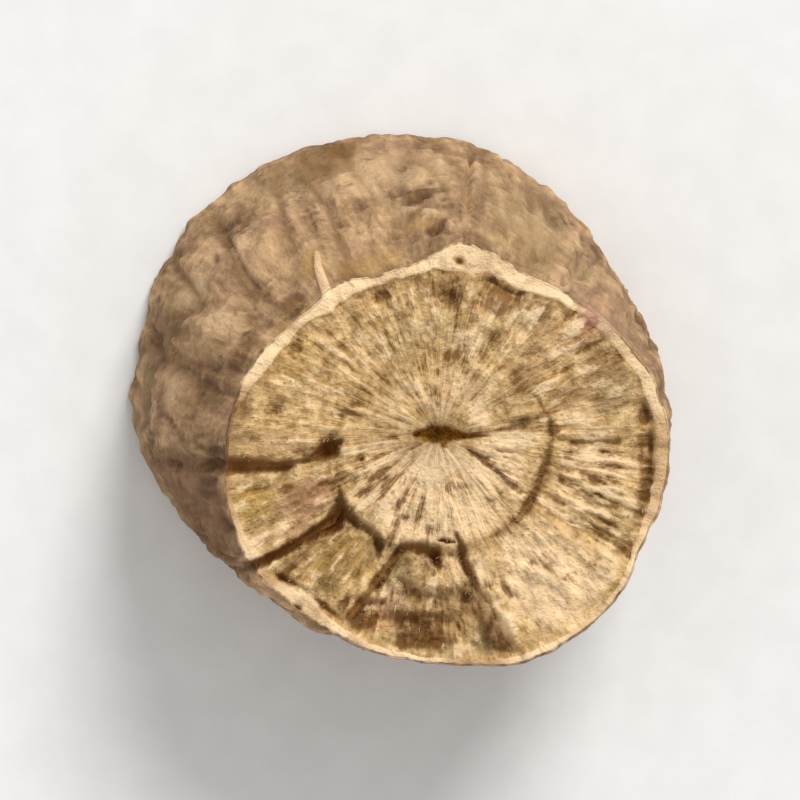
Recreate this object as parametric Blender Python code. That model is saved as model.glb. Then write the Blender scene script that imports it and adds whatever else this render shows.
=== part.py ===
"""A short stub of dried eleuthero root, cut off at both ends, standing on its wider lower cut.

Units are metres and +Z is up. The shape is worked out in millimetres and degrees about the
pith. Angles run anticlockwise from +X, seen from above. The stub leans and widens downwards,
so most of its bark shows on the side away from the lean.
"""

import math
from typing import NamedTuple

import bmesh
import bpy
from mathutils import Vector, noise

for leftover in list(bpy.data.objects):
    bpy.data.objects.remove(leftover, do_unlink=True)

MM = 0.001

# The upper cut: where its pith stands, and how the cut plane slopes down with the lean.
PITH_X = 1.0
PITH_Y = -0.90
PITH_HEIGHT = 8.7
CUT_SLOPE = 0.15
CUT_FALLS_TOWARDS = -55.0

# The turns of the bark's edge round the upper cut: angle, distance from the pith.
RIM_TURNS = (
    (-15, 6.20), (-2, 6.12), (14, 5.84), (30, 5.45), (43, 5.14), (62, 4.88), (75, 5.02),
    (83, 5.10), (90, 4.86), (98, 4.58), (112, 4.50), (122, 4.76), (131, 4.70), (142, 4.84),
    (160, 5.26), (186, 5.68), (200, 5.90), (213, 6.05), (229, 5.88), (243, 5.94), (260, 6.02),
    (276, 6.10), (291, 6.42), (319, 6.40), (331, 6.16),
)

# The lower cut stands to one side of the upper one: its middle, seen from the pith.
FOOT_FROM_PITH = (-1.0, 0.81)
FOOT_TURNS = (
    (0, 6.52), (30, 6.70), (45, 6.86), (63, 7.08), (90, 7.14), (110, 7.32), (135, 7.38),
    (160, 7.26), (175, 7.24), (193, 6.98), (212, 6.44), (227, 5.86), (250, 5.56),
    (275, 5.62), (300, 5.86), (330, 6.22),
)
FOOT_EDGE_HEIGHT = 0.22
FOOT_EDGE_CHIPS = 0.35

# The pith, a slit that the drying opened.
PITH_HALF_LENGTH = 0.62
PITH_HALF_WIDTH = 0.22
PITH_DEPTH = 1.4

# The crack that follows a growth ring round: angle, distance. It gapes over a part of the turn.
RING_TURNS = (
    (0, 3.02), (30, 2.66), (55, 2.36), (85, 2.14), (116, 1.98), (145, 2.06), (166, 2.44),
    (188, 2.84), (216, 3.08), (245, 3.10), (270, 3.04), (300, 3.06), (323, 3.00), (342, 2.94),
)
RING_HALF_WIDTH = 0.15
RING_DEPTH = 0.5
RING_GAPES = (-92.0, 12.0)
RING_CLOSED = 0.12


class Crack(NamedTuple):
    """A radial drying crack. One that ends past the rim runs on down the bark."""

    angle: float
    inner_turn: float
    start: float
    end: float
    half_width: float
    depth: float


PAST_THE_RIM = 9.0
CRACKS = (
    Crack(189.4, -0.6, 2.75, PAST_THE_RIM, 2.4, 0.85),
    Crack(216.2, 1.6, 2.80, PAST_THE_RIM, 2.1, 1.15),
    Crack(244.8, 7.2, 3.10, 5.30, 2.0, 0.65),
    Crack(290.0, -8.0, 2.95, 6.00, 1.7, 0.65),
    Crack(326.0, -4.5, 3.20, 5.90, 1.3, 0.25),
    Crack(357.6, 8.5, 1.20, 4.90, 1.2, 0.30),
    Crack(317.5, 8.5, 0.80, 2.50, 2.2, 0.30),
)
CRACK_BENDS_WITHIN = 13.0


class Block(NamedTuple):
    """Wood between two cracks that dried a little off the plane of the cut."""

    start: float
    end: float
    height: float


BLOCKS = (
    Block(189.4, 216.2, -0.12),
    Block(216.2, 245.0, -0.20),
    Block(290.0, 326.0, 0.12),
    Block(326.0, 360.0, -0.14),
)
INNER_DISC_HEIGHT = 0.08

# A bay at the rim where the wood between two cracks broke away in ledges: distance, drop.
BAY_FROM = 245.0
BAY_TO = 290.0
BAY_LEDGES = ((3.10, 0.16), (3.95, 0.30), (4.55, 0.30))

# The inner bark stands as a lip, whose width changes round the turn: angle, width.
LIP_WIDTHS = (
    (0, 0.38), (28, 0.35), (46, 0.30), (60, 0.45), (72, 0.55), (83, 0.80), (92, 0.42),
    (102, 0.28), (112, 0.24), (121, 0.45), (130, 0.40), (138, 0.28), (150, 0.38), (161, 0.42),
    (172, 0.20), (200, 0.20), (212, 0.32), (222, 0.26), (231, 0.42), (241, 0.28), (256, 0.20),
    (280, 0.20), (291, 0.24), (305, 0.18), (322, 0.18), (333, 0.24), (345, 0.34),
)
LIP_HEIGHT = 0.10

# The lip is parted from the wood in places: from, to, depth of the gap.
GAP_BESIDE_LIP = 0.16
GAP_HALF_WIDTH = 0.14
GAPS = ((-22.0, 6.0, 0.45), (58.0, 72.0, 0.40), (218.0, 242.0, 0.50))


class Spot(NamedTuple):
    """A round pit or knob: how far along is from the pith on a cut, or down the flank from 0 to 1."""

    angle: float
    along: float
    radius: float
    height: float


PITS = (
    Spot(188.6, 2.82, 0.34, -0.75),
    Spot(85.2, 3.58, 0.40, -0.40),
    Spot(112.8, 3.90, 0.28, -0.35),
    Spot(30.0, 4.50, 0.28, -0.30),
    Spot(265.0, 5.10, 0.46, -0.35),
    Spot(279.2, 4.35, 0.30, -0.35),
)

# The bark: how far it swells and how deep its lengthwise furrows are.
BARK_RADIUS = 6.6
FLANK_LENGTH = 9.5
FLANK_BULGE = 0.24
BULGE_SIDEWAYS = 0.14
BULGE_TOWARDS = 130.0
FURROW_DEPTH = 0.20
FURROW_PITCH = 5.8
FURROW_SHARPNESS = 2.4
SWELL = 0.20
ROUGHNESS = 0.10
CRACK_IN_BARK = 0.55

# Knobs where side roots grew, and short hollows.
KNOBS = (
    Spot(135.0, 0.44, 1.75, 0.50),
    Spot(155.0, 0.28, 1.15, 0.34),
    Spot(332.0, 0.64, 1.25, 0.45),
    Spot(258.0, 0.66, 1.40, 0.45),
)
HOLLOWS = (
    Spot(94.4, 0.42, 0.40, -0.30),
    Spot(90.4, 0.14, 0.44, -0.26),
    Spot(231.0, 0.06, 0.45, -0.30),
    Spot(318.0, 0.30, 0.50, -0.28),
    Spot(176.0, 0.70, 0.50, -0.25),
)


class Seam(NamedTuple):
    """A raised sliver or a sunken crease that runs down the bark."""

    angle: float
    top: float
    bottom: float
    half_width: float
    height: float


SEAMS = (
    Seam(125.5, 0.0, 0.20, 1.5, 0.30),
    Seam(82.8, 0.30, 1.0, 1.5, -0.22),
    Seam(164.0, 0.04, 0.62, 2.0, -0.30),
    Seam(346.0, 0.25, 1.0, 1.6, -0.30),
    Seam(275.0, 0.30, 0.95, 1.6, -0.30),
)

# The lower cut's own cracks: angle, from and to as shares of its radius, depth.
FOOT_CRACKS = (
    (189.4, 0.30, 1.05, 0.40),
    (216.2, 0.34, 1.05, 0.55),
    (96.0, 0.08, 0.62, 0.35),
    (317.5, 0.12, 0.84, 0.40),
    (357.6, 0.48, 0.98, 0.30),
    (244.8, 0.50, 0.90, 0.30),
)
FOOT_RING = 0.48
FOOT_RING_HALF_WIDTH = 0.03
FOOT_RING_DEPTH = 0.35
FOOT_RING_GAPES = (112.0, 246.0)
FOOT_PITH = 0.06
FOOT_PITH_DEPTH = 0.7

# How finely the surface is divided.
EVEN_COLUMNS = 116
CLEAR_OF_CRACK = 1.1
FLANK_ROWS = 17
FOOT_RINGS = (0.972, 0.86, 0.72, 0.60, 0.51, 0.48, 0.45, 0.34, 0.22, 0.12, 0.06, 0.035)


def turn_between(angle, other):
    """The signed turn from other to angle, from -180 to 180 degrees."""
    return (angle - other + 180.0) % 360.0 - 180.0


def eased(low, high, value):
    """0 below low, 1 above high, and smooth between them."""
    share = min(max((value - low) / (high - low), 0.0), 1.0)
    return share * share * (3.0 - 2.0 * share)


def within(start, end, angle, fade):
    """1 where angle lies between start and end, falling to 0 over fade degrees outside."""
    middle = (start + end) / 2
    beyond = abs(turn_between(angle, middle)) - (end - start) / 2
    return 1.0 - eased(0.0, fade, beyond)


def along_turns(turns, angle):
    """The distance that a smooth closed curve through the turns has at an angle."""
    angle = (angle - turns[0][0]) % 360.0 + turns[0][0]
    count = len(turns)
    place = max(i for i in range(count) if turns[i][0] <= angle)

    def turn(i):
        lap, index = divmod(i, count)
        return turns[index][0] + 360.0 * lap, turns[index][1]

    (before, r_before), (here, r_here) = turn(place - 1), turn(place)
    (ahead, r_ahead), (after, r_after) = turn(place + 1), turn(place + 2)
    span = ahead - here
    slope_here = (r_ahead - r_before) / (ahead - before) * span
    slope_ahead = (r_after - r_here) / (after - here) * span
    t = (angle - here) / span
    return (
        (2 * t**3 - 3 * t**2 + 1) * r_here
        + (t**3 - 2 * t**2 + t) * slope_here
        + (3 * t**2 - 2 * t**3) * r_ahead
        + (t**3 - t**2) * slope_ahead
    )


def groove(offset, half_width):
    """1 along the bottom of a groove and 0 from its edges on, with steep walls."""
    return min(1.0, 1.5 * max(0.0, 1.0 - abs(offset) / half_width))


def dimple(distance, radius):
    """1 at the middle of a round dimple and 0 from its edge on."""
    return 1.0 - eased(0.0, radius, distance)


def round_noise(angle, pitch, along):
    """Smooth noise that closes on itself round the stub."""
    turn = math.radians(angle)
    return noise.noise(Vector((math.cos(turn) * pitch, math.sin(turn) * pitch, along)))


def outward(angle):
    """The level direction away from the pith at an angle."""
    turn = math.radians(angle)
    return Vector((math.cos(turn), math.sin(turn), 0.0))


def crack_depth(angle, distance):
    """How deep the radial cracks are at a place on the upper cut."""
    depth = 0.0
    for crack in CRACKS:
        reach = eased(crack.start - 0.25, crack.start + 0.45, distance)
        reach *= 1.0 - eased(crack.end - 0.6, crack.end, distance)
        side = groove(turn_between(angle, crack.angle), crack.half_width)
        depth = max(depth, crack.depth * reach * side)
    return depth


def notch_depth(angle):
    """How deep the cracks that run on past the rim are there."""
    depth = 0.0
    for crack in CRACKS:
        if crack.end == PAST_THE_RIM:
            side = groove(turn_between(angle, crack.angle), crack.half_width)
            depth = max(depth, crack.depth * side)
    return depth


def bark_relief(angle, down):
    """How far the bark stands out of the plain flank. down is 0 at the rim and 1 at the foot."""
    wave = round_noise(angle, FURROW_PITCH, 1.3 * down + 4.0)
    furrow = max(0.0, 1.0 - FURROW_SHARPNESS * abs(wave)) ** 1.4
    patch = 0.45 + 0.55 * eased(-0.25, 0.3, round_noise(angle, 1.1, 1.5 * down + 9.0))
    out = -FURROW_DEPTH * furrow * patch
    out += SWELL * round_noise(angle, 1.9, 1.1 * down + 2.0)
    out += ROUGHNESS * round_noise(angle, 13.0, 6.0 * down)
    for spot in KNOBS + HOLLOWS:
        across = math.radians(turn_between(angle, spot.angle)) * BARK_RADIUS
        away = math.hypot(across, (down - spot.along) * FLANK_LENGTH)
        out += spot.height * dimple(away, spot.radius)
    for knob in KNOBS:
        across = math.radians(turn_between(angle, knob.angle)) * BARK_RADIUS
        away = math.hypot(across, (down - knob.along) * FLANK_LENGTH)
        out -= 0.55 * knob.height * dimple(away, 0.4 * knob.radius)
    for seam in SEAMS:
        side = groove(turn_between(angle, seam.angle), seam.half_width)
        reach = eased(seam.top - 0.08, seam.top + 0.02, down)
        out += seam.height * side * reach * (1.0 - eased(seam.bottom - 0.15, seam.bottom, down))
    return out - CRACK_IN_BARK * notch_depth(angle) * (1.0 - eased(0.05, 0.5, down))


def rim_distance(angle):
    """From the pith to the outside of the bark at the upper cut."""
    return along_turns(RIM_TURNS, angle) + 0.35 * bark_relief(angle, 0.0)


def lip_distance(angle):
    """From the pith to where the wood ends and the lip of inner bark begins."""
    return rim_distance(angle) - along_turns(LIP_WIDTHS, angle)


def pith_distance(angle):
    """From the pith's middle to the edge of its slit."""
    turn = math.radians(angle)
    across = math.hypot(PITH_HALF_WIDTH * math.cos(turn), PITH_HALF_LENGTH * math.sin(turn))
    return PITH_HALF_LENGTH * PITH_HALF_WIDTH / across


def face_relief(angle, distance):
    """How far the upper cut stands off its plane."""
    rim = rim_distance(angle)
    lip = lip_distance(angle)
    ring = along_turns(RING_TURNS, angle)
    place = outward(angle) * distance
    height = -PITH_DEPTH * (1.0 - eased(0.72, 1.0, distance / pith_distance(angle)))
    height += 0.10 * noise.noise(Vector((0.8 * place.x, 0.8 * place.y, 7.0)))
    height += 0.07 * noise.noise(Vector((2.3 * place.x, 2.3 * place.y, 3.0)))

    outer = eased(ring - 0.05, ring + 0.15, distance)
    height += INNER_DISC_HEIGHT * (1.0 - outer)
    for block in BLOCKS:
        height += outer * block.height * within(block.start + 0.8, block.end - 0.8, angle, 1.2)
    gape = RING_CLOSED + (1.0 - RING_CLOSED) * within(*RING_GAPES, angle, 14.0)
    height -= RING_DEPTH * gape * groove(distance - ring, RING_HALF_WIDTH)

    in_bay = within(BAY_FROM + 1.0, BAY_TO - 1.0, angle, 1.0)
    in_bay *= 1.0 - eased(rim - 0.55, rim - 0.30, distance)
    for edge, drop in BAY_LEDGES:
        height -= drop * in_bay * eased(edge, edge + 0.2, distance)

    for start, end, depth in GAPS:
        open_here = within(start, end, angle, 6.0) * (0.75 + 0.5 * round_noise(angle, 9.0, 5.0))
        height -= depth * open_here * groove(distance - (lip - GAP_BESIDE_LIP), GAP_HALF_WIDTH)
    height += LIP_HEIGHT * eased(lip - 0.06, lip + 0.06, distance)

    for pit in PITS:
        across = math.radians(turn_between(angle, pit.angle)) * pit.along
        height += pit.height * dimple(math.hypot(across, distance - pit.along), pit.radius)
    return height - crack_depth(angle, distance)


def face_height(x, y):
    """The height of the plane of the upper cut over a place seen from the pith."""
    return PITH_HEIGHT - CUT_SLOPE * outward(CUT_FALLS_TOWARDS).dot((x, y, 0.0))


def crack_bend(angle, distance):
    """How far the wood beside a crack that isn't straight is turned with it, in degrees."""
    bend = 0.0
    for crack in CRACKS:
        end = min(crack.end, 5.8)
        share = 1.0 - min(max((distance - crack.start) / (end - crack.start), 0.0), 1.0)
        beside = 1.0 - eased(0.0, CRACK_BENDS_WITHIN, abs(turn_between(angle, crack.angle)))
        bend += crack.inner_turn * share * beside
    return bend


def face_point(angle, distance):
    """A point of the upper cut. The lines from the pith wander a little, and the cracks with them."""
    wander = 2.5 * round_noise(angle, 1.6, 0.55 * distance) + crack_bend(angle, distance)
    wander *= eased(0.8, 2.0, distance) * (1.0 - (distance / rim_distance(angle)) ** 4)
    place = outward(angle + wander) * distance
    height = face_height(place.x, place.y) + face_relief(angle, distance)
    return Vector((PITH_X + place.x, PITH_Y + place.y, height))


def flank_point(angle, down):
    """A point of the bark, from the rim at down = 0 to the foot's edge at down = 1."""
    top = outward(angle) * along_turns(RIM_TURNS, angle)
    top.z = face_height(top.x, top.y) - 0.14 - notch_depth(angle)
    foot = Vector((*FOOT_FROM_PITH, 0.0)) + outward(angle) * along_turns(FOOT_TURNS, angle)
    foot.z = FOOT_EDGE_HEIGHT + FOOT_EDGE_CHIPS * max(0.0, round_noise(angle, 4.0, 0.5))
    bulge = FLANK_BULGE + BULGE_SIDEWAYS * math.cos(math.radians(angle - BULGE_TOWARDS))
    out = bark_relief(angle, down) * (0.35 + 0.65 * eased(0.0, 0.10, down))
    out += bulge * math.sin(math.pi * down)
    return Vector((PITH_X, PITH_Y, 0.0)) + top.lerp(foot, down) + outward(angle) * out


def foot_point(angle, share):
    """A point of the lower cut, flat but for its cracks. share is 0 at its middle, 1 at its edge."""
    middle = Vector((PITH_X + FOOT_FROM_PITH[0], PITH_Y + FOOT_FROM_PITH[1], 0.0))
    edge = along_turns(FOOT_TURNS, angle) + bark_relief(angle, 1.0)
    gape = within(*FOOT_RING_GAPES, angle, 12.0)
    rise = FOOT_RING_DEPTH * gape * groove(share - FOOT_RING, FOOT_RING_HALF_WIDTH)
    for middle_angle, start, end, depth in FOOT_CRACKS:
        reach = eased(start - 0.05, start + 0.1, share) * (1.0 - eased(end - 0.12, end, share))
        side = groove(turn_between(angle, middle_angle), 2.2)
        rise = max(rise, depth * reach * side)
    rise = max(rise, FOOT_PITH_DEPTH * (1.0 - eased(FOOT_PITH - 0.02, FOOT_PITH, share)))
    point = middle + outward(angle) * edge * share
    point.z = rise
    return point


def column_angles():
    """Even columns round the stub, with three on each crack and seam: both edges and the middle."""
    marked = []
    for line in CRACKS + SEAMS:
        marked += [line.angle - line.half_width, line.angle, line.angle + line.half_width]
    angles = [angle % 360.0 for angle in marked]
    for i in range(EVEN_COLUMNS):
        even = 360.0 * i / EVEN_COLUMNS
        if all(abs(turn_between(even, angle)) > CLEAR_OF_CRACK for angle in marked):
            angles.append(even)
    return sorted(angles)


def ring_distances(angle):
    """How far from the pith each ring of the upper cut lies at an angle."""
    slit = pith_distance(angle)
    ring = along_turns(RING_TURNS, angle)
    ring_out = ring + RING_HALF_WIDTH
    gap = lip_distance(angle) - GAP_BESIDE_LIP
    across_wood = gap - GAP_HALF_WIDTH - ring_out
    distances = [0.70 * slit, slit, 0.5 * slit + 0.20 * ring]
    distances += [ring * share for share in (0.38, 0.52, 0.68, 0.84)]
    distances += [ring - RING_HALF_WIDTH, ring, ring_out]
    distances += [ring_out + across_wood * share for share in (0.28, 0.54, 0.78, 1.0)]
    distances += [gap, lip_distance(angle), rim_distance(angle) - 0.07]
    return distances


def stitch(surface, inner, outer):
    """Fills the band between two rings of (angle, vertex), which may differ in their columns."""
    i = j = 0
    while i < len(inner) or j < len(outer):
        next_inner = inner[(i + 1) % len(inner)]
        next_outer = outer[(j + 1) % len(outer)]
        turn_inner = next_inner[0] + 360.0 * ((i + 1) // len(inner))
        turn_outer = next_outer[0] + 360.0 * ((j + 1) // len(outer))
        here = (inner[i % len(inner)][1], outer[j % len(outer)][1])
        if j >= len(outer) or (i < len(inner) and turn_inner < turn_outer):
            surface.faces.new((*here, next_inner[1]))
            i += 1
        else:
            surface.faces.new((*here, next_outer[1]))
            j += 1


def make_stub():
    """The stub's closed surface, ring by ring from the pith over the rim to the foot's middle."""
    surface = bmesh.new()
    angles = column_angles()

    def ring(point_at, step):
        return [(angle, surface.verts.new(point_at(angle) * MM)) for angle in angles[::step]]

    rings = []
    for k, distance in enumerate(ring_distances(0.0)):
        step = 4 if distance < 0.9 else 2 if distance < 1.8 else 1
        rings.append(ring(lambda angle: face_point(angle, ring_distances(angle)[k]), step))
    for k in range(FLANK_ROWS):
        rings.append(ring(lambda angle: flank_point(angle, k / (FLANK_ROWS - 1)), 1))
    for share in FOOT_RINGS:
        step = 1 if share > 0.4 else 2 if share > 0.2 else 4
        rings.append(ring(lambda angle: foot_point(angle, share), step))
    for inner, outer in zip(rings, rings[1:]):
        stitch(surface, inner, outer)

    foot_middle = foot_point(0.0, 0.0)
    for middle, ends in ((face_point(0.0, 0.0), rings[0]), (foot_middle, rings[-1])):
        tip = surface.verts.new(middle * MM)
        for (_, here), (_, ahead) in zip(ends, ends[1:] + ends[:1]):
            surface.faces.new((tip, here, ahead))
    bmesh.ops.recalc_face_normals(surface, faces=surface.faces)
    return surface


def root_material():
    """Dry cut wood: pale tan, dull all over."""
    material = bpy.data.materials.new("dry_root")
    material.use_nodes = True
    shader = material.node_tree.nodes["Principled BSDF"]
    shader.inputs["Base Color"].default_value = (0.50, 0.32, 0.15, 1.0)
    shader.inputs["Roughness"].default_value = 0.85
    shader.inputs["Metallic"].default_value = 0.0
    return material


surface = make_stub()
mesh = bpy.data.meshes.new("root_stub")
surface.to_mesh(mesh)
surface.free()
mesh.materials.append(root_material())
mesh.shade_smooth()
mesh.set_sharp_from_angle(angle=math.radians(40.0))
stub = bpy.data.objects.new("root_stub", mesh)
bpy.context.scene.collection.objects.link(stub)
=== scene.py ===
import math
from typing import NamedTuple

import bpy
import numpy as np
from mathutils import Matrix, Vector, noise


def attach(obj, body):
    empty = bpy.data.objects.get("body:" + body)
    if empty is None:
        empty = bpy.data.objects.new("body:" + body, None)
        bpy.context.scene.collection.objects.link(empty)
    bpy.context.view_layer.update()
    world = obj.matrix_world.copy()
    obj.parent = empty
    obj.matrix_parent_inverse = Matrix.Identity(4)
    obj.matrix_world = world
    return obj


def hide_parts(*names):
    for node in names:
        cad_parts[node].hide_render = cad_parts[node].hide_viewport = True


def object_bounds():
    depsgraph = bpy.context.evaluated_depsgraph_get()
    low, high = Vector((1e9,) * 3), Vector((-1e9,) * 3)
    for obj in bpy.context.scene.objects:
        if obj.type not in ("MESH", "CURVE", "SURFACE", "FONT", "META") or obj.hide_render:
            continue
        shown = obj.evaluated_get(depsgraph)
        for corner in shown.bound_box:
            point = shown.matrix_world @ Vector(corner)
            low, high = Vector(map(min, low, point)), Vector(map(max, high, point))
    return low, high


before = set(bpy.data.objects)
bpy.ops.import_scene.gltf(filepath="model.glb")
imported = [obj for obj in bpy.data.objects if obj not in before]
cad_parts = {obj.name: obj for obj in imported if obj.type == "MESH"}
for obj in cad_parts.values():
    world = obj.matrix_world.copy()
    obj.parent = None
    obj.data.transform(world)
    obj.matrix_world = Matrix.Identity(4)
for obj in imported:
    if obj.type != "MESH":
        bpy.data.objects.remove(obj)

cad_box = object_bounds()
MM = 0.001

# The bark round the stub.
# Thin grey-brown cork, grown in one with the wood and drawn into lengthwise furrows as the
# root dried. Worked out in millimetres and degrees about the pith, anticlockwise from +X.

PITH_X = 1.0
PITH_Y = -0.90

# The outside of the bark at the upper cut: angle, distance from the pith.
RIM_TURNS = (
    (-15, 6.20), (-2, 6.12), (14, 5.84), (30, 5.45), (43, 5.14), (62, 4.88), (75, 5.02),
    (83, 5.10), (90, 4.86), (98, 4.58), (112, 4.50), (122, 4.76), (131, 4.70), (142, 4.84),
    (160, 5.26), (186, 5.68), (200, 5.90), (213, 6.05), (229, 5.88), (243, 5.94), (260, 6.02),
    (276, 6.10), (291, 6.42), (319, 6.40), (331, 6.16),
)
RIM_FOLLOWS_BARK = 0.35
BARK_RADIUS = 6.6
FLANK_LENGTH = 9.5
FURROW_DEPTH = 0.20
FURROW_PITCH = 5.8
FURROW_SHARPNESS = 2.4
FURROWS_FADE_BY = 0.6
SWELL = 0.20
ROUGHNESS = 0.06
CRACK_IN_BARK = 0.55
CRACK_RUNS_DOWN = 0.28

# Stretches where the bark is smoother: from, to, fade, how much is taken off.
SHALLOW_FURROWS = (36.0, 126.0, 14.0, 0.5)
SHALLOW_WRINKLES = (30.0, 128.0, 20.0, 0.4)
SHALLOW_CREASES = (60.0, 124.0, 14.0, 0.6)


class Spot(NamedTuple):
    """A round pit or knob: how far along is from the pith on a cut, or down the flank from 0 to 1."""

    angle: float
    along: float
    radius: float
    height: float


KNOBS = (
    Spot(135.0, 0.44, 1.75, 0.50),
    Spot(155.0, 0.28, 1.15, 0.34),
    Spot(332.0, 0.64, 1.25, 0.45),
    Spot(258.0, 0.66, 1.40, 0.45),
)
CRATER_RADIUS = 0.4
CRATER_DEPTH = 0.55
HOLLOWS = (
    Spot(91.0, 0.38, 0.36, -0.22),
    Spot(89.2, 0.12, 0.38, -0.20),
    Spot(139.5, 0.035, 0.40, -0.16),
    Spot(231.0, 0.06, 0.45, -0.30),
    Spot(318.0, 0.30, 0.50, -0.28),
    Spot(176.0, 0.70, 0.50, -0.25),
)


class Seam(NamedTuple):
    """A raised sliver or a sunken crease that runs down the bark and turns by its lean on the way."""

    angle: float
    top: float
    bottom: float
    half_width: float
    height: float
    lean: float


# A sliver of the cream inner bark that was drawn down over the cork, and the cork's creases.
CREAM_SPUR = Seam(127.8, 0.0, 0.20, 2.8, 0.20, -28.0)
SEAMS = (
    Seam(82.2, 0.30, 1.0, 1.5, -0.22, -8.0),
    Seam(164.0, 0.20, 0.66, 3.4, -0.12, 0.0),
    Seam(346.0, 0.25, 1.0, 1.6, -0.30, 0.0),
    Seam(275.0, 0.30, 0.95, 1.6, -0.30, 0.0),
)

# Where the two widest cracks run on down the bark: angle, half width in degrees, depth.
NOTCHES = ((188.6, 2.6, 0.60), (215.4, 1.9, 0.80))


class Turn(NamedTuple):
    """A point that a crack or ridge passes, with its half width and its depth or height there."""

    angle: float
    along: float
    half_width: float
    depth: float


def through(*turns):
    """The path of a crack or ridge: each turn's angle, along, half width, and depth or height."""
    return tuple(Turn(*turn) for turn in turns)


# Ridges of cork that stand out a little.
CORK_RIDGES = (
    through(
        (83, 0.03, 0.1, 0.04), (85.5, 0.13, 0.2, 0.08), (89, 0.23, 0.24, 0.1), (93.5, 0.28, 0.24, 0.1),
        (97, 0.35, 0.2, 0.08), (100, 0.43, 0.1, 0.04),
    ),
    through((147, 0.36, 0.1, 0.04), (149, 0.2, 0.18, 0.1), (156, 0.16, 0.16, 0.09)),
    through((100, 0.9, 0.06, 0.06), (112, 0.93, 0.14, 0.12), (124, 0.9, 0.06, 0.06)),
    through((30, 0.25, 0.08, 0.04), (27, 0.5, 0.15, 0.09), (29, 0.8, 0.08, 0.04)),
)
WRINKLE_HEIGHT = 0.060
WART_HEIGHT = 0.060
LENTICEL_HEIGHT = 0.05
SWIRL_HEIGHT = 0.030
CREASE_DEPTH = 0.11
CORK_CRACK_DEPTH = 0.06


def noise_at(x, y, z):
    """Smooth noise from about -1 to 1. Single numbers may stand in for arrays, to pick a layer."""
    places = np.stack(np.broadcast_arrays(x, y, z), axis=-1)
    return np.array([noise.noise(place) for place in places.tolist()])


def round_noise(angle, pitch, along):
    """Smooth noise that closes on itself round the stub."""
    turn = np.radians(angle)
    return noise_at(np.cos(turn) * pitch, np.sin(turn) * pitch, along)


def turn_between(angle, other):
    """The signed turn from other to angle, from -180 to 180 degrees."""
    return (angle - other + 180.0) % 360.0 - 180.0


def eased(low, high, value):
    """0 below low, 1 above high, and smooth between them."""
    share = np.clip((value - low) / (high - low), 0.0, 1.0)
    return share * share * (3.0 - 2.0 * share)


def within(start, end, angle, fade):
    """1 where angle lies between start and end, falling to 0 over fade degrees outside."""
    beyond = abs(turn_between(angle, (start + end) / 2)) - (end - start) / 2
    return 1.0 - eased(0.0, fade, beyond)


def calmed(stretch, angle):
    """1 on most of the bark, and less on a smoother stretch of it."""
    start, end, fade, share = stretch
    return 1.0 - share * within(start, end, angle, fade)


def groove(offset, half_width):
    """1 along the bottom of a groove and 0 from its edges on, with steep walls."""
    return np.minimum(1.0, 1.5 * np.maximum(0.0, 1.0 - abs(offset) / half_width))


def dimple(distance, radius):
    """1 at the middle of a round dimple and 0 from its edge on."""
    return 1.0 - eased(0.0, radius, distance)


def outward(angle):
    """The level directions away from the pith, one row for each angle."""
    turn = np.radians(angle)
    return np.stack([np.cos(turn), np.sin(turn)], axis=-1)


def along_turns(turns, angle):
    """The distance that a smooth closed curve through the turns has at each angle."""
    starts, radii = np.array(turns, dtype=float).T
    angle = (angle - starts[0]) % 360.0 + starts[0]
    starts = np.concatenate([starts[-1:] - 360.0, starts, starts[:2] + 360.0])
    radii = np.concatenate([radii[-1:], radii, radii[:2]])
    slopes = (radii[2:] - radii[:-2]) / (starts[2:] - starts[:-2])
    here = np.searchsorted(starts, angle, side="right") - 1
    span = starts[here + 1] - starts[here]
    t = (angle - starts[here]) / span
    return (
        (2 * t**3 - 3 * t**2 + 1) * radii[here]
        + (t**3 - 2 * t**2 + t) * slopes[here - 1] * span
        + (3 * t**2 - 2 * t**3) * radii[here + 1]
        + (t**3 - t**2) * slopes[here] * span
    )


def along_path(places, ends, half_widths, depths):
    """How deep a line through the ends is at each place, with steep walls and pointed tips."""
    deepest = np.zeros(len(places))
    for k in range(len(ends) - 1):
        run = ends[k + 1] - ends[k]
        share = np.clip((places - ends[k]) @ run / (run @ run), 0.0, 1.0)
        away = np.linalg.norm(places - ends[k] - share[:, None] * run, axis=1)
        half_width = half_widths[k] + (half_widths[k + 1] - half_widths[k]) * share
        depth = depths[k] + (depths[k + 1] - depths[k]) * share
        deepest = np.maximum(deepest, depth * groove(away, half_width))
    return deepest


def notch_depth(angle):
    """How deep the cracks that run on past the rim are there."""
    depth = np.zeros_like(angle)
    for middle, half_width, deepest in NOTCHES:
        depth = np.maximum(depth, deepest * groove(turn_between(angle, middle), half_width))
    return depth


def away_from(spot, angle, down):
    """How far each place on the flank lies from a spot there."""
    across = np.radians(turn_between(angle, spot.angle)) * BARK_RADIUS
    return np.hypot(across, (down - spot.along) * FLANK_LENGTH)


def furrow_depth(angle, down):
    """The lengthwise furrows, from 0 on the ridges to 1 in the deepest."""
    wave = round_noise(angle, FURROW_PITCH, 1.3 * down + 4.0)
    furrow = np.maximum(0.0, 1.0 - FURROW_SHARPNESS * abs(wave)) ** 1.4
    return furrow * (0.45 + 0.55 * eased(-0.25, 0.3, round_noise(angle, 1.1, 1.5 * down + 9.0)))


def seam_side(seam, angle, down):
    """1 along a seam and 0 beside it and past its ends. It narrows on its way down."""
    tapered = seam.half_width * (1.0 - 0.7 * down / seam.bottom)
    side = groove(turn_between(angle, seam.angle + seam.lean * down), np.maximum(0.1, tapered))
    side = side * eased(seam.top - 0.08, seam.top + 0.02, down)
    return side * (1.0 - eased(0.8 * seam.bottom, seam.bottom, down))


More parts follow.
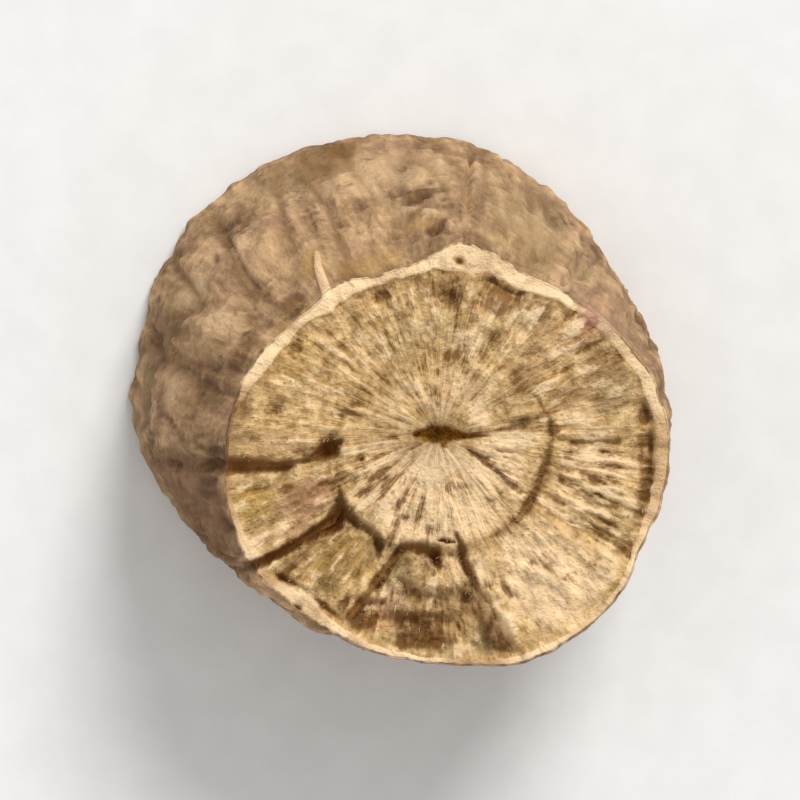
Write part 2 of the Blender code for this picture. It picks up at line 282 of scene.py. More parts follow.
def bark_relief(angle, down):
    """How far the bark stands out of the plain flank. down is 0 at the rim and 1 at the foot."""
    out = -FURROW_DEPTH * furrow_depth(angle, down) * calmed(SHALLOW_FURROWS, angle)
    fading = FURROWS_FADE_BY * eased(0.55, 0.95, down)
    out *= 1.0 - fading * eased(-0.3, 0.3, round_noise(angle, 1.4, 19.0))
    out += SWELL * round_noise(angle, 1.9, 1.1 * down + 2.0)
    out += ROUGHNESS * round_noise(angle, 13.0, 6.0 * down)
    for spot in KNOBS + HOLLOWS:
        out += spot.height * dimple(away_from(spot, angle, down), spot.radius)
    for knob in KNOBS:
        crater = dimple(away_from(knob, angle, down), CRATER_RADIUS * knob.radius)
        out -= CRATER_DEPTH * knob.height * crater
    for seam in (*SEAMS, CREAM_SPUR):
        out += seam.height * seam_side(seam, angle, down)
    return out - CRACK_IN_BARK * notch_depth(angle) * (1.0 - eased(0.02, CRACK_RUNS_DOWN, down))


def ridge_height(angle, down):
    """How far the ridges of cork stand out, in mm."""
    height = np.zeros_like(angle)
    for ridge in CORK_RIDGES:
        middle = ridge[len(ridge) // 2].angle
        across = np.radians(turn_between(angle, middle)) * BARK_RADIUS
        across = across + 0.12 * round_noise(angle, 9.0, 9.0 * down)
        places = np.column_stack([across, down * FLANK_LENGTH])
        ends = [(math.radians(turn.angle - middle) * BARK_RADIUS, turn.along * FLANK_LENGTH)
                for turn in ridge]
        half_widths = [turn.half_width for turn in ridge]
        depths = [turn.depth for turn in ridge]
        height = np.maximum(height, along_path(places, np.array(ends), half_widths, depths))
    return height


def cork_grain(angle, down):
    """The bark's fine wrinkles, creases, warts, swirls round the knobs and cross cracks, in mm."""
    along = FLANK_LENGTH * down
    # The wrinkles wander a little on their way down, and are drawn deeper in some places.
    drift = angle + 5.0 * round_noise(angle, 2.5, 0.35 * along + 40.0)
    drawn = 0.3 + 0.7 * eased(-0.25, 0.35, round_noise(angle, 3.0, 0.4 * along + 33.0))
    drawn *= calmed(SHALLOW_WRINKLES, angle)
    wrinkles = round_noise(drift, 22.0, 0.42 * along + 20.0)
    wrinkles += 0.7 * round_noise(drift, 48.0, 0.9 * along + 60.0)
    creases = np.maximum(0.0, 1.0 - 3.5 * abs(round_noise(drift, 12.0, 0.16 * along + 90.0)))
    creases *= eased(-0.1, 0.3, round_noise(drift, 5.0, 0.5 * along + 95.0))
    creases *= calmed(SHALLOW_CREASES, angle)
    warts = round_noise(angle, 16.0, 1.3 * along) + 0.6 * round_noise(angle, 40.0, 3.4 * along)
    warts *= 0.35 + 0.9 * eased(-0.2, 0.4, round_noise(angle, 4.0, 0.6 * along + 25.0))
    warts *= 1.0 - 0.5 * eased(0.75, 0.95, down)
    lenticels = eased(0.28, 0.5, round_noise(angle, 9.0, 5.5 * along + 70.0))
    swirl = np.zeros_like(angle)
    for knob in KNOBS:
        away = away_from(knob, angle, down)
        bend = 2.2 * round_noise(angle, 8.0, 1.2 * along + 50.0)
        swirl += np.sin(8.0 * away + bend) * dimple(away, 1.25 * knob.radius)
    # The cork has cracked across where the warts are thick.
    level = round_noise(drift, 6.0, 2.4 * along + 80.0) + 0.4 * round_noise(angle, 20.0, 3.0 * along)
    cross = np.maximum(0.0, 1.0 - 8.0 * abs(level)) * eased(0.0, 0.4, warts)
    out = WRINKLE_HEIGHT * drawn * wrinkles + WART_HEIGHT * warts + SWIRL_HEIGHT * swirl
    return out + LENTICEL_HEIGHT * lenticels - CREASE_DEPTH * creases - CORK_CRACK_DEPTH * cross


def rim_distance(angle):
    """From the pith to the outside of the bark at the upper cut."""
    return along_turns(RIM_TURNS, angle) + RIM_FOLLOWS_BARK * bark_relief(angle, 0.0 * angle)


# The upper cut, which the view looks down on.
# Dry wood with its pith, rays and one cracked growth ring inside a cream lip of inner bark.
# It was chopped across, and then its wedges shrank apart, so each lies a little off the rest.

PITH_HEIGHT = 8.7
CUT_SLOPE = 0.15
CUT_FALLS_TOWARDS = -55.0
PITH_HALF_LENGTH = 0.62
PITH_HALF_WIDTH = 0.22
PITH_DEPTH = 0.50
YEARS = 6.0

# The growth ring that cracked: angle, distance from the pith.
RING_TURNS = (
    (0, 3.00), (13, 2.94), (30, 2.52), (55, 2.38), (82, 2.10), (100, 1.88), (116, 1.78), (130, 1.86),
    (150, 2.10), (166, 2.44), (188, 2.84), (216, 3.08), (245, 3.10), (270, 3.04), (300, 3.06),
    (323, 3.00), (342, 2.94),
)

# How dark the ring shows where it hasn't opened: angle, share.
RING_SHOWS = (
    (0, 0.7), (8, 0.8), (18, 0.35), (28, 0.8), (38, 0.9), (44, 0.5), (52, 1.0), (60, 0.5), (70, 0.1),
    (82, 0.9), (90, 0.2), (98, 0.6), (108, 0.7), (117, 0.9), (126, 0.4), (138, 0.6), (150, 0.5),
    (160, 0.9), (170, 1.0), (180, 0.5), (200, 0.3), (216, 0.8), (235, 0.9), (250, 0.6), (268, 0.9),
    (284, 0.2), (300, 0.65), (312, 0.6), (322, 1.0), (332, 0.8), (340, 1.0), (350, 0.8),
)
RING_LINE_HALF_WIDTH = 0.15
INNER_DISC_HEIGHT = 0.08

# The drying cracks, which part the wedges of wood, turn by turn from their inner ends out.
LEFT_CRACK = through(
    (183.4, 2.58, 0.14, 0.3), (187, 2.84, 0.34, 0.6), (189.4, 3.08, 0.22, 0.5), (190.6, 3.4, 0.12, 0.3),
    (190.8, 3.8, 0.12, 0.25), (191.6, 4.14, 0.22, 0.4), (190.4, 4.6, 0.22, 0.4), (189.4, 5, 0.26, 0.45),
    (188.6, 5.45, 0.3, 0.55), (188.4, 6.6, 0.28, 0.6),
)
LOWER_LEFT_CRACK = through(
    (208, 2.94, 0.06, 0.15), (213, 3.04, 0.14, 0.3), (218, 3.24, 0.24, 0.5), (220.4, 3.6, 0.3, 0.7),
    (218.6, 4.05, 0.21, 0.65), (217.8, 4.6, 0.17, 0.6), (216.8, 5.16, 0.18, 0.65),
    (216, 5.62, 0.16, 0.7), (215, 6.1, 0.18, 0.8), (214.8, 6.8, 0.19, 0.8),
)
LOWER_LEFT_RING = through(
    (216.8, 3.18, 0.2, 0.45), (222, 3.16, 0.19, 0.32), (229, 3.14, 0.15, 0.28),
    (237.6, 3.08, 0.13, 0.26), (242, 3.26, 0.16, 0.3), (244, 3.6, 0.06, 0.15),
)
ARCH_SIDE = through(
    (252.4, 3.14, 0.18, 0.35), (249.6, 3.68, 0.14, 0.32), (247.2, 4.28, 0.18, 0.45),
    (246.2, 4.56, 0.09, 0.25), (245.2, 4.88, 0.18, 0.45), (244.6, 5.25, 0.13, 0.3),
    (244, 5.45, 0.04, 0.2),
)
ARCH_TOP = through(
    (252.4, 3.14, 0.18, 0.35), (256, 3.04, 0.17, 0.32), (260, 3.02, 0.18, 0.35),
    (264, 3.06, 0.18, 0.38), (268.4, 3.14, 0.25, 0.5), (270, 3.42, 0.14, 0.3), (270, 3.62, 0.03, 0.2),
)
ARCH_END = through((270, 2.8, 0.04, 0.2), (273, 2.76, 0.09, 0.35), (278, 2.84, 0.04, 0.2))
BAY_SIDE = through(
    (280.6, 2.66, 0.05, 0.15), (281.4, 3, 0.16, 0.3), (281.8, 3.3, 0.19, 0.38), (283, 3.8, 0.14, 0.3),
    (286, 4.5, 0.07, 0.14), (288, 5.2, 0.05, 0.08), (290, 6, 0.04, 0.06),
)
WEDGE_SIDE = through(
    (322.2, 3.1, 0.04, 0.08), (322.6, 3.8, 0.04, 0.04), (323.2, 4.5, 0.05, 0.06),
    (325.2, 5.3, 0.05, 0.08), (327.4, 6.05, 0.04, 0.06),
)
LOWER_RIGHT_RING = through(
    (294, 3.03, 0.05, 0.08), (300, 3.05, 0.1, 0.16), (306, 3.05, 0.11, 0.18), (312, 3.04, 0.1, 0.18),
    (317.6, 3.02, 0.15, 0.28), (322, 3, 0.18, 0.34), (328, 2.98, 0.15, 0.28), (333, 2.94, 0.09, 0.15),
    (338, 2.9, 0.15, 0.26), (344, 2.92, 0.12, 0.2), (352, 2.94, 0.08, 0.14), (359, 2.96, 0.1, 0.18),
    (368, 2.94, 0.08, 0.15), (379, 2.78, 0.09, 0.15), (384, 2.72, 0.03, 0.08),
)
RIGHT_CRACK = through(
    (358, 3, 0.05, 0.1), (358.2, 3.3, 0.07, 0.12), (357.6, 3.9, 0.05, 0.09), (357.8, 4.7, 0.13, 0.22),
    (358, 4.94, 0.04, 0.06),
)
RIGHT_INNER = through(
    (3.5, 1.45, 0.04, 0.06), (6, 1.95, 0.12, 0.16), (8, 2.45, 0.1, 0.14), (10.5, 2.95, 0.1, 0.14),
    (13.6, 3.35, 0.08, 0.12), (17.4, 3.75, 0.04, 0.06),
)
PITH_TAIL = through((356, 0.55, 0.13, 0.4), (358.5, 0.9, 0.12, 0.26), (359, 1.3, 0.05, 0.08))
PITH_TIP = through((310, 0.16, 0.16, 0.4), (292, 0.34, 0.09, 0.3), (288, 0.46, 0.03, 0.1))
INNER_CRACK = through(
    (335, 0.74, 0.04, 0.04), (332, 1.02, 0.11, 0.14), (328.4, 1.6, 0.11, 0.14), (326, 2.22, 0.09, 0.1),
    (324.6, 2.66, 0.03, 0.03),
)
CLEFTS = (
    LEFT_CRACK, LOWER_LEFT_CRACK, LOWER_LEFT_RING, ARCH_SIDE, ARCH_TOP, ARCH_END, BAY_SIDE,
    WEDGE_SIDE, LOWER_RIGHT_RING, RIGHT_CRACK, RIGHT_INNER, PITH_TAIL, PITH_TIP, INNER_CRACK,
)


class Block(NamedTuple):
    """Wood between two cracks that dried a little off the plane of the cut."""

    start: tuple
    end: tuple
    height: float


BLOCKS = (
    Block(LEFT_CRACK, LOWER_LEFT_CRACK, -0.12),
    Block(LOWER_LEFT_CRACK, ARCH_SIDE, -0.20),
    Block(BAY_SIDE, WEDGE_SIDE, 0.12),
    Block(WEDGE_SIDE, RIGHT_CRACK, -0.14),
)

# A bay at the rim where the wood between two cracks broke away in ledges: distance, drop.
BAY_LEDGES = ((3.10, 0.16), (3.98, 0.28), (4.58, 0.30))

# The inner bark stands as a lip, whose width changes round the turn: angle, width.
LIP_WIDTHS = (
    (0, 0.38), (28, 0.35), (46, 0.30), (60, 0.45), (72, 0.55), (83, 0.80), (92, 0.42),
    (102, 0.29), (112, 0.27), (121, 0.46), (130, 0.50), (138, 0.26), (150, 0.38), (161, 0.42),
    (172, 0.20), (200, 0.20), (212, 0.32), (222, 0.26), (231, 0.42), (241, 0.28), (256, 0.20),
    (280, 0.20), (291, 0.24), (305, 0.18), (322, 0.18), (333, 0.24), (345, 0.34),
)
LIP_HEIGHT = 0.10
DENT_HEIGHT = 0.07
# The depth at which a crack's painted shade is full.
SHADE_FULL_AT_DEPTH = 0.6

# The lip is parted from the wood in places: from, to, depth of the gap.
GAP_BESIDE_LIP = 0.14
GAP_HALF_WIDTH = 0.11
GAPS = ((-22.0, 6.0, 0.26), (58.0, 72.0, 0.22), (98.0, 120.0, 0.12), (222.0, 240.0, 0.25))
PITS = (
    Spot(85.0, 3.60, 0.40, -0.22),
    Spot(83.2, 4.58, 0.20, -0.30),
    Spot(112.8, 3.95, 0.30, -0.18),
    Spot(105.6, 3.92, 0.16, -0.08),
    Spot(135.0, 4.20, 0.20, -0.08),
    Spot(148.8, 4.38, 0.20, -0.12),
    Spot(171.2, 4.32, 0.22, -0.12),
    Spot(30.0, 4.50, 0.20, -0.10),
    Spot(24.8, 3.70, 0.20, -0.10),
    Spot(265.0, 5.12, 0.30, -0.25),
    Spot(280.2, 4.36, 0.32, -0.22),
    Spot(231.0, 5.94, 0.22, -0.35),
)


class Checks(NamedTuple):
    """Hairline checks along the rays of one part of the cut, some wider and longer than the rest."""

    start: float
    end: float
    spacing: float
    nearest: float
    farthest: float
    length: float
    half_width: float
    depth: float


CHECKS = (
    Checks(196.0, 352.0, 7.6, 0.95, 1.70, 0.95, 0.060, 0.13),
    Checks(200.0, 262.0, 6.0, 1.75, 2.35, 0.60, 0.065, 0.15),
    Checks(-6.0, 196.0, 10.0, 0.75, 1.20, 0.70, 0.055, 0.10),
    Checks(20.0, 200.0, 7.0, 2.10, 3.60, 0.60, 0.045, 0.07),
    Checks(326.0, 357.0, 3.4, 3.30, 4.90, 0.85, 0.045, 0.14),
    Checks(0.0, 30.0, 4.6, 3.20, 4.60, 0.80, 0.045, 0.09),
    Checks(286.0, 324.0, 4.4, 3.30, 5.20, 0.50, 0.040, 0.08),
    Checks(247.0, 285.0, 4.0, 3.20, 4.80, 0.60, 0.050, 0.16),
    Checks(120.0, 215.0, 5.0, 3.20, 4.60, 0.50, 0.040, 0.06),
)
CHECK_SEED = 11


def check_lines():
    """The hairline checks as short paths."""
    random = np.random.default_rng(CHECK_SEED)
    lines = []
    for group in CHECKS:
        for middle in np.arange(group.start, group.end, group.spacing):
            angle = middle + random.uniform(-0.4, 0.4) * group.spacing
            start = random.uniform(group.nearest, group.farthest)
            length = group.length * random.uniform(0.5, 1.3)
            size = random.uniform(0.55, 1.15)
            bend = random.uniform(-1.2, 1.2)
            lines.append((
                Turn(angle - bend, start, 0.012, 0.0),
                Turn(angle, start + 0.4 * length, group.half_width * size, group.depth * size),
                Turn(angle + bend, start + length, 0.012, 0.0),
            ))
    return lines


def pith_distance(angle):
    """From the pith's middle to the edge of its slit."""
    turn = np.radians(angle)
    across = np.hypot(PITH_HALF_WIDTH * np.cos(turn), PITH_HALF_LENGTH * np.sin(turn))
    return PITH_HALF_LENGTH * PITH_HALF_WIDTH / across


def mottled(places, *noises):
    """Several noises over a cut added up, each given as its strength, pitch and layer."""
    x, y = places.T
    return sum(strength * noise_at(pitch * x, pitch * y, layer) for strength, pitch, layer in noises)


def frayed(places):
    """Places moved a little at random, which frays the edges of what is cut there."""
    shift = [mottled(places, (0.055, 2.6, layer), (0.035, 7.5, layer)) for layer in (11.0, 17.0)]
    return places + np.column_stack(shift)


def path_depth(path, places):
    """How deep a crack along a path is at places seen from the pith."""
    turns = [turn.angle for turn in path]
    ends = outward(np.array(turns)) * np.array([[turn.along] for turn in path])
    depths = [abs(turn.depth) for turn in path]
    return along_path(places, ends, [turn.half_width for turn in path], depths)


def face_sunk(angle, distance, lip_edge):
    """How deep the pith, cracks, checks, gaps and pits are at each place of the upper cut."""
    ragged = frayed(outward(angle) * distance[:, None])
    uneven = mottled(ragged, (0.18, 4.0, 71.0), (0.10, 12.0, 73.0))
    sunk = PITH_DEPTH * (1.0 - eased(0.66, 1.14, distance / pith_distance(angle) + uneven))
    for cleft in CLEFTS:
        sunk = np.maximum(sunk, path_depth(cleft, ragged))
    for line in check_lines():
        sunk = np.maximum(sunk, path_depth(line, ragged))
    for start, end, depth in GAPS:
        open_here = within(start, end, angle, 5.0) * (0.7 + 0.9 * round_noise(angle, 9.0, 5.0))
        gap = groove(distance - (lip_edge - GAP_BESIDE_LIP), GAP_HALF_WIDTH)
        sunk = np.maximum(sunk, depth * open_here * gap)
    for pit in PITS:
        away = np.linalg.norm(ragged - outward(pit.angle) * pit.along, axis=1)
        sunk = np.maximum(sunk, -pit.height * dimple(away, pit.radius))
    return sunk


def side_angle(path, distance):
    """The angle at which a crack between two wedges lies at each distance."""
    turns = sorted(path, key=lambda turn: turn.along)
    return np.interp(distance, [turn.along for turn in turns], [turn.angle for turn in turns])


def between(start, end, angle, distance):
    """1 between two cracks and 0 outside them."""
    after = turn_between(angle, side_angle(start, distance))
    before = turn_between(side_angle(end, distance), angle)
    return eased(0.0, 1.6, after) * eased(0.0, 1.6, before)


def face_steps(angle, distance, rim, lip_edge):
    """How far the swells, wedges, ledges and lip stand off the cut's plane, the lip, and the bay."""
    places = outward(angle) * distance[:, None]
    height = mottled(places, (0.10, 0.8, 7.0), (0.07, 2.3, 3.0))
    ring = along_turns(RING_TURNS, angle)
    outer = eased(ring - 0.05, ring + 0.15, distance)
    height += INNER_DISC_HEIGHT * (1.0 - outer)
    for block in BLOCKS:
        height += outer * block.height * between(block.start, block.end, angle, distance)
    in_bay = between(ARCH_SIDE, BAY_SIDE, angle, distance)
    in_bay *= 1.0 - eased(rim - 0.55, rim - 0.28, distance)
    torn = mottled(places, (0.22, 1.6, 27.0), (0.12, 4.5, 29.0))
    for edge, drop in BAY_LEDGES:
        height -= drop * in_bay * eased(edge, edge + 0.12, distance + torn)
    ragged = distance + mottled(places, (0.05, 3.0, 35.0))
    lip = eased(lip_edge - 0.05, lip_edge + 0.05, ragged)
    uneven = 0.4 * round_noise(angle, 12.0, 31.0) + 0.8 * round_noise(angle, 4.5, 33.0)
    height += LIP_HEIGHT * lip * (1.0 + uneven)
    height += mottled(places, (DENT_HEIGHT, 3.2, 63.0)) * outer
    return height, lip, in_bay * outer


def face_grain(angle, distance, years):
    """The fine ridges of the cut wood, about -1 to 1: rays, ends of fibres and growth rings."""
    places = outward(angle) * distance[:, None]
    drift = angle + 2.4 * round_noise(angle, 1.6, 0.55 * distance)
    rays = 0.8 * round_noise(drift, 8.0, 0.6 * distance) + round_noise(drift, 19.0, 0.45 * distance)
    rays += 0.7 * round_noise(drift, 44.0, 0.8 * distance)
    ends = mottled(places, (0.8, 2.2, 37.0), (1.0, 4.2, 41.0), (0.8, 9.0, 43.0))
    rings = noise_at(0.0, mottled(places, (0.35, 1.0, 47.0)), 3.4 * years)
    return 0.55 * rays + 0.55 * ends + 0.35 * rings


def face_height(place):
    """The height of the plane of the upper cut over places seen from the pith."""
    return PITH_HEIGHT - CUT_SLOPE * place @ outward(CUT_FALLS_TOWARDS)


class Patch(NamedTuple):
    """A tinted patch: its middle, how far it reaches round and along, and how strong it is."""

    angle: float
    along: float
    half_turn: float
    half_reach: float
    strength: float


def patches_at(*places):
    """Patches, each given as angle, along, half turn, half reach and strength."""
    return tuple(Patch(*place) for place in places)


# Where the cut wood is paler, browner, yellower, redder or greyer than the rest.
FACE_TINTS = {
    "pale": patches_at(
        (266, 1.7, 88, 1.55, 1), (266, 0.75, 66, 0.6, 1), (307, 4.6, 19, 1.95, 0.95),
        (276, 3.55, 5, 0.45, 0.6), (71, 2.56, 11, 0.5, 1.2), (356, 1.8, 9, 0.5, 1),
        (334, 1.7, 27, 0.95, 1.1), (254, 4.5, 6, 0.5, 1.2), (290, 5.3, 3.5, 0.5, 0.9),
        (237, 4.5, 6, 0.4, 0.55), (318, 5.7, 9, 0.4, 0.9), (288, 3.75, 4, 0.5, 0.8),
        (211.5, 5.75, 4, 0.3, 0.7), (359.5, 4.05, 3.5, 0.6, 0.8), (8, 3.8, 7, 0.9, 0.5),
        (350, 4.3, 9, 1.1, 0.7), (335, 3.9, 11, 0.9, 0.5), (60, 1.4, 40, 0.6, 0.5),
        (25, 1.22, 20, 0.4, 1.05), (82, 0.74, 44, 0.26, 0.75), (349, 3.42, 6, 0.36, 1),
        (100, 2.8, 8, 0.4, 0.65), (140, 1.3, 40, 0.5, 0.3), (128, 3, 12, 0.6, 0.2),
    ),
    # Brown is partly painted shade: the patches at 82 and 90 degrees lie in the shade under the lip.
    "brown": patches_at(
        (264, 5, 15, 0.55, 0.75), (196, 3.2, 7, 0.4, 0.5), (33, 2.7, 16, 0.55, 0.45),
        (176, 5.35, 16, 0.5, 0.6), (222, 3.2, 12, 0.35, 0.8), (258, 3.3, 14, 0.35, 0.45),
        (65, 3.92, 10, 0.42, 1.1), (52, 4.2, 9, 0.4, 0.7), (22, 4.7, 9, 0.6, 0.75),
        (189, 3.05, 8, 0.55, 0.9), (170, 5.15, 6, 0.3, 0.7), (247, 5.28, 7, 0.32, 1),
        (271, 4.86, 7, 0.32, 0.8), (344, 5.62, 9, 0.28, 0.8), (338, 2.96, 22, 0.24, 0.65),
        (90, 3.85, 14, 0.35, 0.5), (6, 2.2, 9, 0.8, 0.35), (140, 2.1, 34, 0.35, 0.25),
        (222.5, 3.7, 4.5, 0.7, 0.8), (221, 4.7, 3, 1, 0.55), (232, 4.3, 13, 1.1, 0.46),
        (205, 3.9, 10, 1.2, 0.38), (15, 4, 13, 1.1, 0.48), (268, 4.4, 18, 0.9, 0.44),
        (9.5, 5.4, 4, 0.28, 0.5), (267.5, 5.34, 9, 0.42, 1.1), (240, 3.4, 6, 0.4, 0.6),
        (263, 3.1, 12, 0.3, 0.6), (82, 4, 30, 0.25, 0.45), (330, 5.2, 4, 0.6, 0.2),
        (201, 5.2, 8, 0.9, 0.22), (208, 4.4, 7, 1.3, 0.25), (1, 1.4, 8, 0.6, 0.35),
    ),
    "gold": patches_at(
        (200.5, 5.2, 6, 0.85, 1), (338, 3.1, 24, 0.32, 0.4), (232, 4.2, 15, 1.1, 0.8),
        (148, 4.2, 12, 0.6, 0.35),
    ),
    "rose": patches_at(
        (206, 3.8, 9, 1.1, 0.78), (34, 4.55, 3.5, 0.3, 0.7), (37, 4.95, 4.5, 0.4, 1.2),
        (41, 5.3, 4.5, 0.4, 1.2), (24, 5.75, 8, 0.18, 0.7), (37, 5.15, 9, 0.5, 0.45),
        (40, 3.8, 12, 0.8, 0.22), (256, 4.75, 9, 0.25, 0.9), (252, 5.2, 5, 0.25, 0.5),
        (213, 4.6, 3.5, 0.9, 0.6), (184, 4.2, 7, 1.3, 0.25),
    ),
    "olive": patches_at(
        (336, 4.85, 13, 1.1, 0.55), (16, 4.8, 14, 0.5, 0.7), (281, 5.45, 6, 0.6, 0.9),
        (256, 3.7, 9, 0.5, 0.6), (258, 5.5, 9, 0.25, 0.8), (112, 2.6, 20, 0.6, 0.36),
        (80, 2.9, 24, 0.5, 0.35), (60, 3.05, 4, 0.35, 0.7), (52, 3.9, 9, 0.35, 0.5),
        (273, 5.6, 4, 0.45, 0.8), (8, 4.9, 8, 0.8, 0.4),
    ),
}

# Single dark (below 0) and bright strokes and flecks of the cut wood.
FACE_FLECKS = patches_at(
    # The inner disc below the pith.
    (210, 0.87, 11, 0.16, -0.8), (221, 1.86, 8, 0.18, -0.7), (248, 1.42, 9, 0.16, -0.9),
    (229, 2.35, 3, 0.5, -1), (241, 2.45, 2.5, 0.42, -0.9), (216, 2.45, 2.6, 0.42, -0.8),
    (264, 2.53, 6, 0.14, -0.7), (305, 2.22, 6, 0.15, -0.6), (334, 2.02, 4, 0.22, -0.6),
    (199, 2.76, 4, 0.11, -0.9), (209, 1.47, 7, 0.2, 0.8), (223, 2.5, 3, 0.32, 0.8),
    (236, 2.5, 4, 0.26, 0.7), (250, 2.67, 5, 0.22, 0.9), (266, 1.2, 8, 0.26, 0.8),
    (357, 2.32, 4, 0.42, 0.9), (344, 1.75, 9, 0.22, 0.6), (245, 1, 34, 0.36, 0.6),
    (302, 0.9, 30, 0.3, 0.5),
    # The inner disc above the pith.
    (82, 1.22, 6, 0.24, -0.7), (129, 0.78, 8, 0.15, -0.7), (170, 1.3, 8, 0.2, -0.6),
    (60, 1.75, 11, 0.16, -0.6), (68, 1.12, 9, 0.26, 0.8), (20, 1.02, 13, 0.2, 0.7),
    (71, 2.62, 5, 0.24, 0.9), (124, 2.48, 6, 0.17, 0.7), (165, 0.92, 16, 0.15, 0.6),
    (82, 2.13, 4, 0.15, -0.9), (356, 1.8, 8, 0.5, 1.2),
    # The wood above, from the right crack round to the left one. The dark band at 96 degrees under the
    # lip is painted shade.
    (85, 3.58, 5, 0.36, -1.1), (113, 3.93, 4, 0.18, -1.1), (65, 4.15, 7, 0.15, -1),
    (60, 3.05, 4, 0.28, -1), (149, 4.36, 3, 0.22, -1.1), (171, 4.32, 2.4, 0.26, -1.1),
    (96, 3.98, 12, 0.12, -0.7), (25, 3.7, 2, 0.2, -0.8), (30, 4.5, 2, 0.2, -0.6),
    (66, 3.2, 4, 0.22, 0.7), (77, 3.8, 3, 0.26, 0.6), (159, 3.55, 4, 0.2, 0.6),
    (54, 3.82, 4, 0.15, 0.6), (38, 4.55, 4, 0.22, 0.7),
    # The right-hand sector and the pale wedge.
    (344, 4.26, 1.8, 0.18, -0.9), (337, 4.17, 1.7, 0.2, -0.8), (338, 5, 1.7, 0.2, -0.9),
    (329.5, 5.14, 2, 0.28, -1), (334, 5.31, 1.7, 0.2, -0.7), (325, 4.9, 2, 0.26, -0.7),
    (328, 5.64, 1.7, 0.18, -0.9), (335, 5.77, 1.5, 0.15, -0.7), (5, 5.48, 1.8, 0.3, -1.1),
    (334.6, 4.85, 2, 0.22, 0.9), (340.4, 4.24, 1.6, 0.2, 0.7), (330.6, 5.5, 1.5, 0.2, 0.8),
    (347, 4.8, 2.4, 0.45, 0.8), (353, 3.9, 3, 0.32, 0.8), (6, 3.7, 3, 0.35, 0.8),
    (306, 3.7, 2.5, 0.16, 0.9), (318, 3.9, 2.5, 0.14, 0.9), (310, 4.2, 5, 0.14, -0.6),
    (294, 4.42, 1.8, 0.18, -0.9), (292, 5.7, 2, 0.14, -0.8),
    # The wedge, the block and the bay at the lower left.
    (200, 5.5, 1.6, 0.26, 0.9), (211, 5.6, 2, 0.26, 1), (218.6, 5.5, 1.2, 0.18, 0.9),
    (231, 5.38, 4, 0.14, 1), (219, 5.94, 2, 0.12, -1), (222, 4.9, 2, 0.7, -0.5),
    (257, 4.52, 4, 0.16, 0.8), (254, 4.05, 2.5, 0.14, 0.8), (279, 4.33, 2, 0.2, -1),
    (268, 5.4, 6, 0.22, -1), (247, 5.3, 4, 0.2, -1), (289, 5.3, 2.5, 0.3, 0.9),
)

# Lines that only colour the wood: brown where the strength is below 0, and bright above it.
FACE_LINES = (
    through(
        (249, 5.45, 0.12, -0.5), (251, 5.15, 0.15, -0.9), (256, 4.98, 0.15, -0.9), (262, 4.9, 0.17, -1),
        (268, 4.98, 0.17, -1), (272, 5.2, 0.12, -0.7),
    ),
    through(
        (255, 5.52, 0.1, -0.6), (260, 5.6, 0.14, -0.9), (266, 5.58, 0.14, -0.9), (270, 5.4, 0.1, -0.6),
    ),
    through((254, 4.3, 0.07, -0.4), (261, 4.22, 0.1, -0.6), (273, 4.32, 0.09, -0.6)),
    through((236, 5.3, 0.09, -0.5), (241, 5.05, 0.13, -0.8), (243, 4.7, 0.08, -0.4)),
    through(
        (222, 5.45, 0.09, -0.5), (227, 5.15, 0.11, -0.7), (231, 4.98, 0.11, -0.7),
        (236, 5.2, 0.08, -0.5),
    ),
    through(
        (247, 4.92, 0.07, 0.5), (252, 4.74, 0.11, 1), (258, 4.66, 0.09, 0.8), (263, 4.7, 0.06, 0.5),
    ),
    through((261, 4.02, 0.08, 0.7), (266, 3.95, 0.13, 1.2), (271, 3.92, 0.07, 0.6)),
    through((274, 3.28, 0.08, 0.6), (276.5, 3.68, 0.14, 1.1), (279, 4.1, 0.08, 0.6)),
    through((288, 4.3, 0.08, 0.5), (290, 5, 0.15, 1), (292, 5.7, 0.12, 0.8)),
    through((5, 1.6, 0.1, -0.4), (8, 2.05, 0.16, -0.8), (10, 2.6, 0.16, -0.6)),
    through((333, 0.8, 0.09, -0.5), (330, 1.3, 0.16, -1.1), (325, 2.6, 0.15, -0.9)),
    through((212, 1.3, 0.09, -0.5), (214.5, 1.9, 0.14, -1), (217, 2.75, 0.14, -0.9)),
    through(
        (7, 5.42, 0.16, -0.7), (-2, 5.4, 0.22, -1.2), (-7, 5.48, 0.28, -1.3), (-12, 5.6, 0.3, -1.3),
        (-17, 5.68, 0.24, -1.1), (-22, 5.7, 0.18, -1),
    ),
)


class Strokes(NamedTuple):
    """Strokes along the rays of one part of the cut, scattered at random, half dark and half bright."""

    start: float
    end: float
    nearest: float
    farthest: float
    count: int
    half_width: float
    half_reach: float
    strength: float


STROKES = (
    Strokes(324.0, 357.0, 3.3, 5.8, 120, 0.080, 0.34, 1.25),
    Strokes(196.0, 262.0, 1.3, 2.9, 56, 0.080, 0.42, 1.30),
    Strokes(262.0, 345.0, 1.0, 2.8, 44, 0.075, 0.30, 0.60),
    Strokes(285.0, 322.0, 3.3, 6.1, 64, 0.072, 0.18, 0.85),
    Strokes(0.0, 196.0, 0.8, 2.3, 80, 0.070, 0.34, 0.65),
    Strokes(0.0, 50.0, 2.6, 5.2, 64, 0.090, 0.34, 0.85),
    Strokes(50.0, 190.0, 2.2, 4.5, 170, 0.080, 0.30, 0.75),
    Strokes(192.0, 214.0, 3.1, 5.7, 48, 0.090, 0.24, 0.80),
    Strokes(221.0, 244.0, 3.4, 5.5, 44, 0.090, 0.26, 0.85),
    Strokes(247.0, 288.0, 3.3, 5.9, 90, 0.090, 0.15, 1.00),
)
STROKE_SEED = 23


